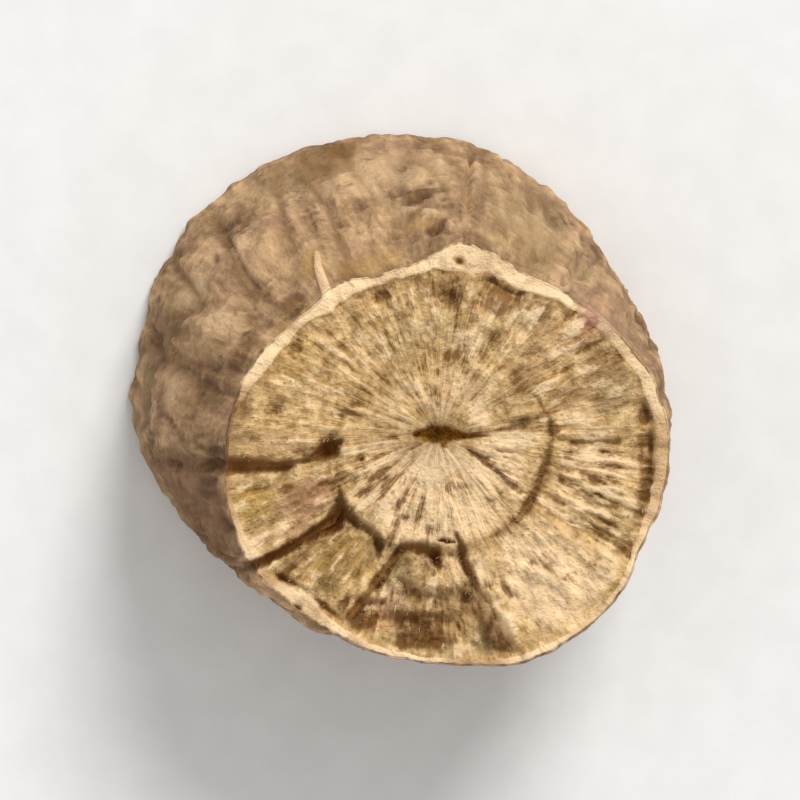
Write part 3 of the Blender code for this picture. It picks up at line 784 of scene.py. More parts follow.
def ray_strokes():
    """The scattered strokes of every part as patches."""
    random = np.random.default_rng(STROKE_SEED)
    strokes = []
    for group in STROKES:
        for k in range(group.count):
            along = random.uniform(group.nearest, group.farthest)
            half_turn = math.degrees(group.half_width * random.uniform(0.6, 1.5) / along)
            half_reach = group.half_reach * random.uniform(0.5, 1.5)
            strength = group.strength * random.uniform(0.4, 1.0) * (-1) ** k
            angle = random.uniform(group.start, group.end)
            strokes.append(Patch(angle, along, half_turn, half_reach, strength))
    return tuple(strokes)


# How bright the lip's cream is: angle, share.
LIP_CREAM = (
    (0, 0.35), (9, 0.85), (15, 0.85), (24, 0.70), (33, 0.65), (41, 0.85), (50, 1.10), (64, 1.00),
    (74, 0.75), (90, 0.95), (100, 1.05), (108, 0.75), (118, 0.95), (124, 1.15), (131, 1.25),
    (137, 0.95), (144, 0.65), (152, 1.10), (160, 1.15), (166, 0.60), (172, 0.00), (186, 0.00),
    (200, 0.25), (212, 0.90), (220, 0.30), (226, 0.80), (231, 0.80), (236, 0.45), (243, 0.95),
    (249, 0.60), (258, 1.00), (268, 0.85), (276, 0.30), (285, 0.30), (291, 1.00), (303, 0.70),
    (316, 0.60), (326, 0.80), (334, 0.75), (345, 0.45),
)
FLECK_RELIEF = 0.06
FLECK_REACH = 2.4
FACE_GRAIN_HEIGHT = 0.055
TORN_GRAIN_HEIGHT = 0.100


def tint(patches, angle, along):
    """How strongly a place takes a tint, from 0 to 1. The patches have ragged edges."""
    places = outward(angle) * (4.0 + along)[:, None]
    ragged = mottled(places, (0.30, 1.4, 51.0), (0.18, 5.0, 53.0))
    strength = np.zeros_like(angle)
    for patch in patches:
        turn = turn_between(angle, patch.angle) / patch.half_turn
        away = np.hypot(turn, (along - patch.along) / patch.half_reach) + ragged
        strength = np.maximum(strength, patch.strength * (1.0 - eased(0.45, 1.05, away)))
    return strength


def fleck_tone(flecks, angle, along, scale):
    """The flecks together, from -1 where they are darkest to 1. Their edges are ragged."""
    places = outward(angle) * (0.5 + along * scale)[:, None]
    ragged = mottled(places, (0.40, 2.4, 55.0), (0.45, 6.5, 57.0))
    tone = np.zeros_like(angle)
    for fleck in flecks:
        turn = turn_between(angle, fleck.angle) / fleck.half_turn
        rise = (along - fleck.along) / fleck.half_reach
        near = np.flatnonzero((abs(turn) < FLECK_REACH) & (abs(rise) < FLECK_REACH))
        away = np.hypot(turn[near], rise[near]) + ragged[near]
        tone[near] += fleck.strength * (1.0 - eased(0.3, 1.6, away))
    return np.clip(tone, -1.1, 1.2)


def face_points(angle, distance):
    """Points of the upper cut, and the marks that its finish goes by."""
    rim = rim_distance(angle)
    lip_edge = rim - along_turns(LIP_WIDTHS, angle)
    years = YEARS * distance / rim
    place = outward(angle) * distance[:, None]
    sunk = face_sunk(angle, distance, lip_edge)
    steps, lip, torn = face_steps(angle, distance, rim, lip_edge)
    grain = face_grain(angle, distance, years)
    tone = fleck_tone(FACE_FLECKS + ray_strokes(), angle, distance, 1.0)
    broken = 0.10 * round_noise(angle, 3.0, 83.0) + 0.06 * round_noise(angle, 14.0, 85.0)
    from_ring = (distance - along_turns(RING_TURNS, angle) + broken) / RING_LINE_HALF_WIDTH
    tone -= 0.8 * along_turns(RING_SHOWS, angle) * (1.0 - eased(0.2, 1.5, abs(from_ring)))
    ragged = frayed(place)
    for line in FACE_LINES:
        tone += math.copysign(1.0, line[0].depth) * path_depth(line, ragged)
    coarse = FACE_GRAIN_HEIGHT + (TORN_GRAIN_HEIGHT - FACE_GRAIN_HEIGHT) * torn
    coarse = coarse * (1.0 - 0.5 * lip)
    height = face_height(place) + steps - sunk + coarse * grain + FLECK_RELIEF * tone
    cream = np.clip(along_turns(LIP_CREAM, angle), 0.0, 1.2)
    barky = lip * (1.0 - eased(0.0, 0.25, cream))
    marks = {name: tint(patches, angle, distance) for name, patches in FACE_TINTS.items()}
    # How deep each place lies, which the finish turns into painted shade.
    hollow = np.clip(sunk / SHADE_FULL_AT_DEPTH, 0.0, 1.0)
    marks |= {"hollow": hollow, "fine": grain, "lip": lip, "tone": tone}
    rough = 0.06 * round_noise(angle, 8.0, 91.0) + 0.05 * round_noise(angle, 37.0, 93.0)
    cork_edge = eased(rim - 0.13, rim - 0.04, distance + rough)
    barky = np.maximum(0.6 * barky, 0.6 * cork_edge)
    marks |= {"cream": cream, "bark": barky, "torn": torn, "years": years}
    return np.column_stack([place, height]), np.column_stack([place, 0.0 * height]), marks


# The flank and the lower cut, which stand on the floor.
# The bark's side runs down and out to a second cut, flat but for its own cracks and chipped edge.
# The lower cut is hidden in the picture, so it is made like the upper one, only plainer.

FOOT_FROM_PITH = (-1.0, 0.81)

# The bark's outside at the foot: angle, distance from the foot's middle.
FOOT_TURNS = (
    (0, 6.52), (30, 6.70), (45, 6.86), (63, 7.08), (90, 7.14), (110, 7.32), (135, 7.38),
    (160, 7.26), (175, 7.24), (193, 6.98), (212, 6.44), (227, 5.86), (250, 5.56),
    (275, 5.62), (300, 5.86), (330, 6.22),
)
FOOT_EDGE_HEIGHT = 0.22
FOOT_EDGE_CHIPS = 0.35
RIM_BELOW_CUT = 0.14
FLANK_BULGE = 0.24
BULGE_SIDEWAYS = 0.14
BULGE_TOWARDS = 130.0

# Cracks of the lower cut: angle, where they start and end between middle and edge, depth.
FOOT_CRACKS = (
    (189.4, 0.30, 1.05, 0.40), (216.2, 0.34, 1.05, 0.55), (96.0, 0.08, 0.62, 0.35),
    (317.5, 0.12, 0.84, 0.40), (357.6, 0.48, 0.98, 0.30), (244.8, 0.50, 0.90, 0.30),
)
FOOT_CRACK_HALF_TURN = 2.2
FOOT_RING = 0.48
FOOT_RING_HALF_WIDTH = 0.03
FOOT_RING_DEPTH = 0.35
FOOT_RING_GAPES = (112.0, 246.0)
FOOT_PITH = 0.06
FOOT_PITH_DEPTH = 0.7
FOOT_GRAIN_DEPTH = 0.05
FOOT_CREAM_STARTS = 0.90
FOOT_SKIN_STARTS = 0.955

# The lower cut's level in the noise of the finish, which is far from the upper cut's at 0.
FOOT_LAYER = -20.0

# Where the bark is paler, browner, yellower, redder or greyer: along is the share of the way down.
BARK_TINTS = {
    "pale": patches_at(
        (137, 0.44, 10, 0.16, 0.65), (95, 0.64, 18, 0.2, 1.2), (151, 0.6, 7, 0.12, 1.2),
        (111, 0.6, 9, 0.1, 0.6), (62, 0.38, 12, 0.22, 1.1), (129, 0.23, 6, 0.07, 0.8),
        (153, 0.3, 6, 0.18, 0.9), (172, 0.42, 8, 0.14, 0.8), (40, 0.3, 14, 0.35, 0.6),
        (176, 0.85, 12, 0.1, 0.5), (161, 0.26, 5, 0.08, 0.7),
    ),
    # Brown is partly the bark's own colour and partly painted shade: in the hollows, below the knob
    # near the rim, and over the left, lower left and right of the flank.
    "brown": patches_at(
        (160, 0.08, 15, 0.06, 0.85), (168, 0.5, 24, 0.55, 0.35), (32, 0.6, 14, 0.4, 0.3),
        (167, 0.18, 6, 0.08, 0.8), (202, 0.4, 20, 0.6, 0.85), (89.2, 0.125, 5, 0.05, 0.75),
        (90.8, 0.365, 4, 0.045, 0.9), (105, 0.17, 7, 0.03, 0.45), (137.5, 0.08, 5, 0.07, 1.1),
        (79.5, 0.06, 6, 0.05, 0.7), (176, 0.74, 9, 0.1, 0.6), (270, 0.6, 50, 0.6, 0.5),
    ),
    "gold": patches_at(
        (112, 0.06, 12, 0.08, 1), (127, 0.16, 7, 0.1, 1.2), (142, 0.02, 9, 0.05, 1),
        (92, 0.2, 8, 0.06, 0.8), (60, 0.2, 12, 0.3, 0.3),
    ),
    "rose": patches_at(
        (138, 0.4, 12, 0.14, 0.65), (126, 0.46, 8, 0.12, 0.7), (34, 0.1, 15, 0.16, 0.95),
        (41, 0.06, 3, 0.14, 1.3), (90, 0.8, 10, 0.12, 0.4), (200, 0.25, 10, 0.15, 0.4),
    ),
    "olive": patches_at(
        (62, 0.42, 20, 0.55, 0.6), (160, 0.68, 7, 0.12, 0.95), (140, 0.03, 7, 0.04, 1),
        (174, 0.7, 9, 0.12, 1.2), (330, 0.6, 30, 0.5, 0.5), (118, 0.75, 14, 0.16, 0.55),
    ),
}

# Single dark (below 0) and bright flecks of the bark. The dark ones in the hollows at 89.2, 91 and
# 139.5 degrees are painted shade.
BARK_FLECKS = patches_at(
    (93, 0.65, 2.4, 0.022, -0.8), (100, 0.75, 2.4, 0.02, -0.8), (105, 0.83, 3, 0.016, -0.8),
    (112, 0.9, 3, 0.014, -0.8), (107, 0.56, 2, 0.02, -0.7), (91, 0.39, 5, 0.045, -1.2),
    (89.2, 0.125, 3, 0.03, -0.8), (153, 0.12, 3, 0.03, -0.8), (139.5, 0.03, 4, 0.03, -1.2),
    (160, 0.57, 5, 0.07, -0.8), (150, 0.45, 2.5, 0.1, -0.5), (172, 0.42, 5, 0.08, 0.8),
    (153, 0.3, 4, 0.1, 0.9), (136, 0.46, 6, 0.06, 0.6), (90, 0.23, 3, 0.03, 0.8),
    (95, 0.31, 3, 0.03, 0.8), (86, 0.11, 3, 0.03, 0.6), (178, 0.62, 4, 0.05, 0.6),
    (118, 0.62, 5, 0.05, 0.5), (72, 0.62, 5, 0.05, 0.5), (181, 0.86, 3, 0.04, 0.8),
    (40, 0.05, 1.5, 0.05, -0.6), (42, 0.14, 1.5, 0.06, -0.6), (151, 0.58, 4, 0.06, 0.9),
)


def foot_edge_height(angle):
    """How high above the floor the edge of the lower cut is, which is chipped in places."""
    return FOOT_EDGE_HEIGHT + FOOT_EDGE_CHIPS * np.maximum(0.0, round_noise(angle, 4.0, 0.5))


def flank_points(angle, down):
    """Points of the bark, from the rim at down = 0 to the foot's edge at down = 1, and their marks."""
    top = outward(angle) * along_turns(RIM_TURNS, angle)[:, None]
    notch = notch_depth(angle)
    top = np.column_stack([top, face_height(top) - RIM_BELOW_CUT - notch])
    foot = FOOT_FROM_PITH + outward(angle) * along_turns(FOOT_TURNS, angle)[:, None]
    foot = np.column_stack([foot, foot_edge_height(angle)])
    bulge = FLANK_BULGE + BULGE_SIDEWAYS * np.cos(np.radians(angle - BULGE_TOWARDS))
    ridge = ridge_height(angle, down)
    fine = cork_grain(angle, down)
    out = bark_relief(angle, down) + fine + ridge
    out = out * (0.35 + 0.65 * eased(0.0, 0.10, down)) + bulge * np.sin(np.pi * down)
    place = top + (foot - top) * down[:, None]
    place[:, :2] += outward(angle) * out[:, None]
    marks = {name: tint(patches, angle, down) for name, patches in BARK_TINTS.items()}
    tone = fleck_tone(BARK_FLECKS, angle, down, 9.0) + 4.0 * ridge
    # Painted shade in the furrows, and in the cracks where they run on down the bark.
    deep = 0.4 * furrow_depth(angle, down) + 0.8 * notch * (1.0 - eased(0.0, 0.22, down))
    spur = seam_side(CREAM_SPUR, angle, down)
    marks |= {"hollow": np.clip(deep, 0.0, 1.0), "fine": fine / WRINKLE_HEIGHT, "lip": spur}
    marks |= {"tone": tone, "bark": 1.0 - spur, "torn": 0.0 * down, "years": YEARS + 0.0 * down}
    cream = np.where(spur > 0.0, 0.75 - 1.8 * down, np.clip(along_turns(LIP_CREAM, angle), 0.0, 1.2))
    marks |= {"cream": cream}
    straight = outward(angle) * BARK_RADIUS
    return place, np.column_stack([straight, -FLANK_LENGTH * down]), marks


def foot_points(angle, share):
    """Points of the lower cut and their marks. share is 0 at its middle and 1 at its edge."""
    all_down = 1.0 + 0.0 * angle
    edge = along_turns(FOOT_TURNS, angle) + bark_relief(angle, all_down)
    edge += cork_grain(angle, all_down) * eased(0.94, 1.0, share)
    gape = within(*FOOT_RING_GAPES, angle, 12.0)
    rise = FOOT_RING_DEPTH * gape * groove(share - FOOT_RING, FOOT_RING_HALF_WIDTH)
    for middle_angle, start, end, depth in FOOT_CRACKS:
        reach = eased(start - 0.05, start + 0.1, share) * (1.0 - eased(end - 0.12, end, share))
        side = groove(turn_between(angle, middle_angle), FOOT_CRACK_HALF_TURN)
        rise = np.maximum(rise, depth * reach * side)
    rise = np.maximum(rise, FOOT_PITH_DEPTH * (1.0 - eased(FOOT_PITH - 0.02, FOOT_PITH, share)))
    straight = outward(angle) * (edge * share)[:, None]
    grain = face_grain(angle, edge * share, YEARS * share)
    height = rise + FOOT_GRAIN_DEPTH * np.clip(0.4 - grain, 0.0, 1.0)
    broken = 0.010 * round_noise(angle, 16.0, 13.0) + 0.006 * round_noise(angle, 48.0, 40.0 * share)
    edge_rise = eased(FOOT_SKIN_STARTS, 1.0, share + broken)
    height = np.maximum(height, foot_edge_height(angle) * edge_rise)
    skin = eased(FOOT_SKIN_STARTS, 0.975, share)
    cream = eased(FOOT_CREAM_STARTS, 0.92, share) * (1.0 - skin)
    marks = {name: 0.0 * share for name in BARK_TINTS}
    marks["pale"] = 0.7 * (1.0 - eased(0.36, 0.54, share + 0.08 * round_noise(angle, 3.0, 5.0)))
    marks["brown"] = 0.7 * eased(0.0, 0.6, round_noise(angle, 1.8, 2.6 * share))
    # Painted shade in the lower cut's cracks, ring and pith, by how deep they lie.
    hollow = np.clip(rise / FOOT_RING_DEPTH, 0.0, 1.0)
    marks |= {"hollow": hollow, "fine": grain, "lip": cream, "bark": skin}
    marks |= {"tone": round_noise(angle, 11.0, 3.2 * share) * (1.0 - skin), "years": YEARS * share}
    marks |= {"torn": 0.0 * share, "cream": 0.6 + 0.0 * share}
    place = np.column_stack([FOOT_FROM_PITH + straight, height])
    return place, np.column_stack([straight, FOOT_LAYER + 0.0 * share]), marks


# The stub itself, one closed surface.
# Rings of points run from the pith over the rim, down the bark and in under the foot, finely
# on the upper cut and along the rim, where the wood shows most.

COLUMNS = 720
SLIT_ROWS = (0.30, 0.55, 0.72, 0.80, 0.88, 0.95, 1.0)
SLIT_BLENDS_BY = 0.95
SLIT_BLEND_ROWS = 8
FACE_STEP = 0.055
COARSE_WITHIN = 1.5
MEDIUM_WITHIN = 2.6
INNER_FACE_ENDS = 3.45
EDGE_ROUNDING = 0.07
EDGE_ROWS = 4
FLANK_ROWS = 56
FLANK_CROWDING = 1.25
FOOT_ROWS = (
    0.995, 0.989, 0.982, 0.974, 0.965, 0.95, 0.93, 0.905, 0.87, 0.82, 0.76, 0.70, 0.63, 0.56, 0.51,
    0.495, 0.48, 0.465, 0.45, 0.40, 0.32, 0.24, 0.17, 0.12, 0.08, 0.06, 0.05, 0.035, 0.02,
)


def mesh_piece(name, points, faces, straight, marks):
    """A mesh object in metres that keeps what its finish goes by at each point."""
    mesh = bpy.data.meshes.new(name)
    mesh.from_pydata(((points + (PITH_X, PITH_Y, 0.0)) * MM).tolist(), [], faces)
    grain = mesh.attributes.new("straight", "FLOAT_VECTOR", "POINT")
    grain.data.foreach_set("vector", straight.ravel())
    for name_of_mark, values in marks.items():
        mark = mesh.attributes.new(name_of_mark, "FLOAT", "POINT")
        mark.data.foreach_set("value", values)
    mesh.shade_smooth()
    made = bpy.data.objects.new(name, mesh)
    bpy.context.scene.collection.objects.link(made)
    return made


class Skin:
    """A surface laid ring by ring, with what its finish needs to know at each point."""

    def __init__(self):
        self.count = 0
        self.points = []
        self.straight = []
        self.marks = []
        self.rings = []
        self.faces = []

    def keep(self, points, straight, marks):
        """Adds points, and returns their numbers."""
        first = self.count
        self.count += len(points)
        self.points.append(points)
        self.straight.append(straight)
        self.marks.append(marks)
        return range(first, self.count)

    def lay(self, angles, points, straight, marks):
        """Adds a ring of points and fills the band to the ring before it."""
        ring = list(zip(angles.tolist(), self.keep(points, straight, marks)))
        if self.rings:
            self.fill(self.rings[-1], ring)
        self.rings.append(ring)

    def fill(self, inner, outer):
        """Fills the band between two rings of (angle, point), which may differ in their columns."""
        i = j = 0
        while i < len(inner) or j < len(outer):
            next_inner = inner[(i + 1) % len(inner)]
            next_outer = outer[(j + 1) % len(outer)]
            turn_inner = next_inner[0] + 360.0 * ((i + 1) // len(inner))
            turn_outer = next_outer[0] + 360.0 * ((j + 1) // len(outer))
            here = (inner[i % len(inner)][1], outer[j % len(outer)][1])
            if j >= len(outer) or (i < len(inner) and turn_inner < turn_outer):
                self.faces.append((*here, next_inner[1]))
                i += 1
            else:
                self.faces.append((*here, next_outer[1]))
                j += 1

    def cap(self, place, turned):
        """Closes the first or last ring with a point at its middle."""
        middles = [self.points[place].mean(axis=0, keepdims=True)]
        middles.append(self.straight[place].mean(axis=0, keepdims=True))
        marks = {name: values[:1] for name, values in self.marks[place].items()}
        middle = self.keep(*middles, marks)[0]
        ends = [point for _, point in self.rings[place]]
        for here, ahead in zip(ends, ends[1:] + ends[:1]):
            self.faces.append((middle, ahead, here) if turned else (middle, here, ahead))

    def piece(self, name):
        """The finished mesh object."""
        marks = {}
        for name_of_mark in self.marks[0]:
            marks[name_of_mark] = np.concatenate([ring[name_of_mark] for ring in self.marks])
        points = np.concatenate(self.points)
        return mesh_piece(name, points, self.faces, np.concatenate(self.straight), marks)


def even_angles(step):
    """Every step-th of the even columns round the stub."""
    return np.arange(0, COLUMNS, step) * 360.0 / COLUMNS


def face_rows():
    """The rings of the upper cut from the pith out: their angles, and the distance at each."""
    for share in SLIT_ROWS:
        angles = even_angles(6)
        yield angles, share * pith_distance(angles)
    for k in range(1, SLIT_BLEND_ROWS + 1):
        angles = even_angles(6 if k <= SLIT_BLEND_ROWS / 2 else 4)
        slit = pith_distance(angles)
        yield angles, slit + (SLIT_BLENDS_BY - slit) * k / SLIT_BLEND_ROWS
    rows = round((INNER_FACE_ENDS - SLIT_BLENDS_BY) / FACE_STEP)
    for k in range(1, rows + 1):
        distance = SLIT_BLENDS_BY + (INNER_FACE_ENDS - SLIT_BLENDS_BY) * k / rows
        angles = even_angles(4 if distance < COARSE_WITHIN else 2 if distance < MEDIUM_WITHIN else 1)
        yield angles, distance + 0.0 * angles
    angles = even_angles(1)
    edge = rim_distance(angles) - EDGE_ROUNDING
    rows = round((edge.mean() - INNER_FACE_ENDS) / FACE_STEP)
    for k in range(1, rows + 1):
        yield angles, INNER_FACE_ENDS + (edge - INNER_FACE_ENDS) * k / rows


def in_one_go(point_rule, rows):
    """Works out all rows of a surface together, and hands them back ring by ring."""
    angles = np.concatenate([row[0] for row in rows])
    along = np.concatenate([row[1] for row in rows])
    points, straight, marks = point_rule(angles, along)
    start = 0
    for row in rows:
        here = slice(start, start + len(row[0]))
        start = here.stop
        yield row[0], points[here], straight[here], {name: mark[here] for name, mark in marks.items()}


skin = Skin()
for ring in in_one_go(face_points, list(face_rows())):
    skin.lay(*ring)

all_round = even_angles(1)
inner_edge = skin.points[-1]
inner_marks = skin.marks[-1]
outer_edge, outer_straight, outer_marks = flank_points(all_round, 0.0 * all_round)
for k in range(1, EDGE_ROWS):
    quarter = math.pi / 2 * k / EDGE_ROWS
    across = math.sin(quarter)
    down = 1.0 - math.cos(quarter)
    place = inner_edge + (outer_edge - inner_edge) * np.array([across, across, down])
    marks = {name: mark + (outer_marks[name] - mark) * down for name, mark in inner_marks.items()}
    above_edge = (place - outer_edge) * (0.0, 0.0, 1.0)
    skin.lay(all_round, place, outer_straight + above_edge, marks)
flank_rows = [
    (all_round, (k / (FLANK_ROWS - 1)) ** FLANK_CROWDING + 0.0 * all_round) for k in range(FLANK_ROWS)
]
for ring in in_one_go(flank_points, flank_rows):
    skin.lay(*ring)
for share in FOOT_ROWS:
    angles = even_angles(2 if share > 0.6 else 4 if share > 0.2 else 12)
    skin.lay(angles, *foot_points(angles, share + 0.0 * angles))
skin.cap(-1, True)
skin.cap(0, False)
stub = skin.piece("root_stub_dressed")


class Wire:
    """A number that varies over a surface. Sums written with it add Math nodes."""

    def __init__(self, finish, socket):
        self.finish = finish
        self.socket = socket

    def maths(self, operation, first, second):
        return self.finish.add("ShaderNodeMath", {"operation": operation}, {0: first, 1: second})

    def __add__(self, other):
        return self.maths("ADD", self, other)

    def __radd__(self, other):
        return self.maths("ADD", other, self)

    def __sub__(self, other):
        return self.maths("SUBTRACT", self, other)

    def __rsub__(self, other):
        return self.maths("SUBTRACT", other, self)

    def __mul__(self, other):
        return self.maths("MULTIPLY", self, other)

    def __rmul__(self, other):
        return self.maths("MULTIPLY", other, self)


class Finish:
    """A material whose shader is fed by nodes added one by one."""

    def __init__(self, name):
        self.material = bpy.data.materials.new(name)
        self.material.use_nodes = True
        self.tree = self.material.node_tree
        self.shader = self.tree.nodes["Principled BSDF"]

    def add(self, kind, settings, sockets, output=0):
        """A new node: its settings are set first, then its sockets are filled or linked."""
        node = self.tree.nodes.new(kind)
        for name, value in settings.items():
            setattr(node, name, value)
        self.fill(node, sockets)
        return Wire(self, node.outputs[output])

    def fill(self, node, sockets):
        for name, value in sockets.items():
            if isinstance(value, Wire):
                self.tree.links.new(value.socket, node.inputs[name])
            else:
                node.inputs[name].default_value = value

    def mark(self, name, output="Fac"):
        """A number stored on the mesh."""
        settings = {"attribute_type": "GEOMETRY", "attribute_name": name}
        return self.add("ShaderNodeAttribute", settings, {}, output)

    def ramp(self, value, low, high):
        """0 below low, 1 above high, and smooth between."""
        settings = {"interpolation_type": "SMOOTHSTEP"}
        return self.add("ShaderNodeMapRange", settings, {0: value, 1: low, 2: high})

    def speckle(self, vector, scale, detail=2.0):
        """Noise from about -1 to 1."""
        sockets = {"Vector": vector, "Scale": scale, "Detail": detail}
        return self.add("ShaderNodeTexNoise", {}, sockets) * 4.0 - 2.0

    def mix(self, share, first, second):
        """A colour between two, by share."""
        settings = {"data_type": "RGBA"}
        return self.add("ShaderNodeMix", settings, {0: share, 6: first, 7: second}, 2)

    def shade(self, colour, amount):
        """A colour made lighter or darker."""
        settings = {"operation": "SCALE"}
        return self.add("ShaderNodeVectorMath", settings, {0: colour, "Scale": amount})

    def vector(self, x, y, z):
        return self.add("ShaderNodeCombineXYZ", {}, {0: x, 1: y, 2: z})

    def drawn_out(self, x, y, z, detail):
        """Noise over places that are stretched one way."""
        return self.speckle(self.vector(x, y, z), 1.0, detail)

    def parts_of(self, vector):
        """The x, y and z of a vector."""
        node = self.tree.nodes.new("ShaderNodeSeparateXYZ")
        self.fill(node, {0: vector})
        return [Wire(self, output) for output in node.outputs]


def seen(red, green, blue):
    """The colour that shows as these screen values, as the shader takes it."""
    linear = [((value / 255.0 + 0.055) / 1.055) ** 2.4 for value in (red, green, blue)]
    return (*linear, 1.0)


BUMP_DISTANCE = 0.00003
wood = Finish("dry root, wood and bark")
place = wood.mark("straight", "Vector")
x, y, z = wood.parts_of(place)
level = wood.vector(x, y, 0.0)
distance = wood.add("ShaderNodeVectorMath", {"operation": "LENGTH"}, {0: level}, "Value")
turn = wood.add("ShaderNodeVectorMath", {"operation": "NORMALIZE"}, {0: level})
turn_x, turn_y, _ = wood.parts_of(turn)
hollow, fine, tone, bark = [wood.mark(name) for name in ("hollow", "fine", "tone", "bark")]
lip, creamy, years = [wood.mark(name) for name in ("lip", "cream", "years")]
pale, brown, gold, rose, olive = [wood.mark(name) for name in FACE_TINTS]

# The cut wood: streaks along the rays, pores in the growth rings, blotches, and painted shade where the
# grain lies low.
mottle = wood.speckle(place, 1.1, 3.0)
blotch = wood.speckle(place, 2.6, 3.0)
ends = wood.speckle(place, 7.0, 4.0)
dots = wood.speckle(place, 14.0, 3.0)
bend_x = turn_x + blotch * 0.012
bend_y = turn_y + mottle * 0.012
broad_rays = wood.drawn_out(bend_x * 10.0, bend_y * 10.0, distance * 0.9 + z, 2.0)
rays = wood.drawn_out(bend_x * 24.0, bend_y * 24.0, distance * 0.7 + z, 3.0)
hairs = wood.drawn_out(bend_x * 74.0, bend_y * 74.0, distance * 2.2 + z, 2.0)
rings = wood.drawn_out(0.0, mottle * 0.15, years * 2.6, 2.0)
pores = wood.add("ShaderNodeTexVoronoi", {}, {"Vector": place, "Scale": 5.2}, "Distance")
pore = (1.0 - wood.ramp(pores, 0.10, 0.24)) * wood.ramp(blotch + rings, -0.4, 0.6)

tan = wood.mix(wood.ramp(blotch + ends * 0.5, -1.0, 1.0), seen(198, 157, 100), seen(222, 189, 137))
colour = wood.mix(pale, tan, seen(248, 213, 166))
colour = wood.mix(gold * 0.85, colour, seen(200, 162, 86))
colour = wood.mix(rose * 0.75, colour, seen(184, 130, 102))
colour = wood.mix(olive * 0.70, colour, seen(170, 151, 107))
# Brown is partly painted shade under the lip.
colour = wood.mix(brown * 0.85, colour, seen(136, 100, 60))
burst = wood.ramp(broad_rays + blotch * 0.4, 0.0, 0.9) - wood.ramp(broad_rays + blotch * 0.4, 0.0, -0.9)
strokes = rays * 0.16 + burst * 0.17 + hairs * 0.08
# Painted shade: fine darkens the wood where its grain lies low and lightens it where the grain stands
# high; strokes, mottle, blotch, rings and ends are the wood's own tone.
light = 1.0 + strokes + fine * 0.16 + mottle * 0.14 + blotch * 0.15 + rings * 0.06 + ends * 0.10
wood_colour = wood.shade(colour, light - pore * 0.30)
fray = hairs * 0.35 + rays * 0.30 + ends * 0.30
wood_colour = wood.mix(wood.ramp(tone + fray, 0.10, 1.2) * 0.80, wood_colour, seen(255, 224, 178))
# The dark flecks include painted shade under the lip and in the bark's hollows.
wood_colour = wood.mix(wood.ramp(tone + fray * 1.3, -0.05, -1.5) * 0.88, wood_colour, seen(118, 80, 34))

# The inner bark's cream lip.
cream = wood.mix(creamy + mottle * 0.15 + rays * 0.15, seen(182, 140, 92), seen(255, 222, 176))
# fine puts a little painted shade into the lip where its grain lies low.
cream = wood.shade(cream, 1.04 + ends * 0.07 + hairs * 0.05 + fine * 0.05)

# The cork: grey-brown, paler on its ridges and streaked lengthwise, with dark specks and painted shade
# in its creases.
slant = x * 0.55 - y * 0.40
wander_x = x + mottle * 0.12 + blotch * 0.05
wander_y = y - mottle * 0.10 + blotch * 0.06
streaks = wood.drawn_out(wander_x * 2.4, wander_y * 2.4, z * 0.5 + slant, 4.0)
threads = wood.drawn_out(wander_x * 7.0, wander_y * 7.0, z * 1.1 + slant * 3.0, 3.0)
bands = wood.drawn_out(x * 1.5, y * 1.5, z * 3.0 + slant * 3.0 + mottle, 3.0)
specks = wood.speckle(place, 6.0, 4.0)
film = wood.drawn_out(wander_x * 0.8, wander_y * 0.8, z * 0.4 + slant, 4.0)
hue = wood.drawn_out(wander_x * 1.1, wander_y * 1.1, z * 0.5 + slant + 9.0, 3.0)
# fine darkens the cork in its creases and lightens it on its wrinkles and warts, which is painted
# shade; the other noises are the cork's own tone.
patchy = streaks * 0.65 + film * 0.9 + threads * 0.30 + bands * 0.15 + blotch * 0.4 + fine * 0.30
cork = wood.mix(wood.ramp(patchy, -1.5, 1.5), seen(116, 82, 48), seen(212, 174, 130))
cork = wood.mix(wood.ramp(hue, 0.1, 1.3) * 0.55, cork, seen(190, 146, 118))
cork = wood.mix(wood.ramp(hue, -0.1, -1.3) * 0.45, cork, seen(152, 128, 80))
cork = wood.mix(pale * 0.60, cork, seen(214, 178, 134))
# Brown here is partly painted shade in the bark's hollows and on its left, lower left and right.
cork = wood.mix(brown * 0.75, cork, seen(104, 64, 28))
cork = wood.mix(gold * 0.65, cork, seen(194, 152, 94))
cork = wood.mix(rose * 0.50, cork, seen(184, 142, 112))
cork = wood.mix(olive * 0.60, cork, seen(152, 126, 82))
dark_speck = wood.ramp(specks + dots * 0.4, 0.35, 1.2)
# Again fine adds painted shade from the cork's wrinkles; the rest is the cork's own tone and specks.
cork_tone_and_shade = 1.0 + patchy * 0.10 + fine * 0.12 + threads * 0.05 + specks * 0.08 + dots * 0.05 + ends * 0.06
cork = wood.shade(cork, cork_tone_and_shade - dark_speck * 0.25)
# The bark's own flecks, pale and dark, and its paler ridges; the dark flecks in its hollows are painted
# shade.
flecks_and_shade = tone + specks * 0.3 + ends * 0.25
cork = wood.mix(wood.ramp(flecks_and_shade, 0.15, 1.2) * 0.60, cork, seen(226, 192, 152))
cork = wood.mix(wood.ramp(flecks_and_shade, -0.15, -1.2) * 0.75, cork, seen(88, 58, 28))

cream = wood.mix(rose * 0.80, cream, seen(194, 142, 120))
colour = wood.mix(wood.ramp(lip + ends * 0.10, 0.35, 0.65), wood_colour, cream)
colour = wood.mix(wood.ramp(bark + ends * 0.10, 0.35, 0.65), colour, cork)
# Painted shade: the colour darkens by how deep each place lies in a crack, pit or furrow.
colour = wood.shade(colour, 1.0 - wood.ramp(hollow, 0.0, 0.4) * 0.35)
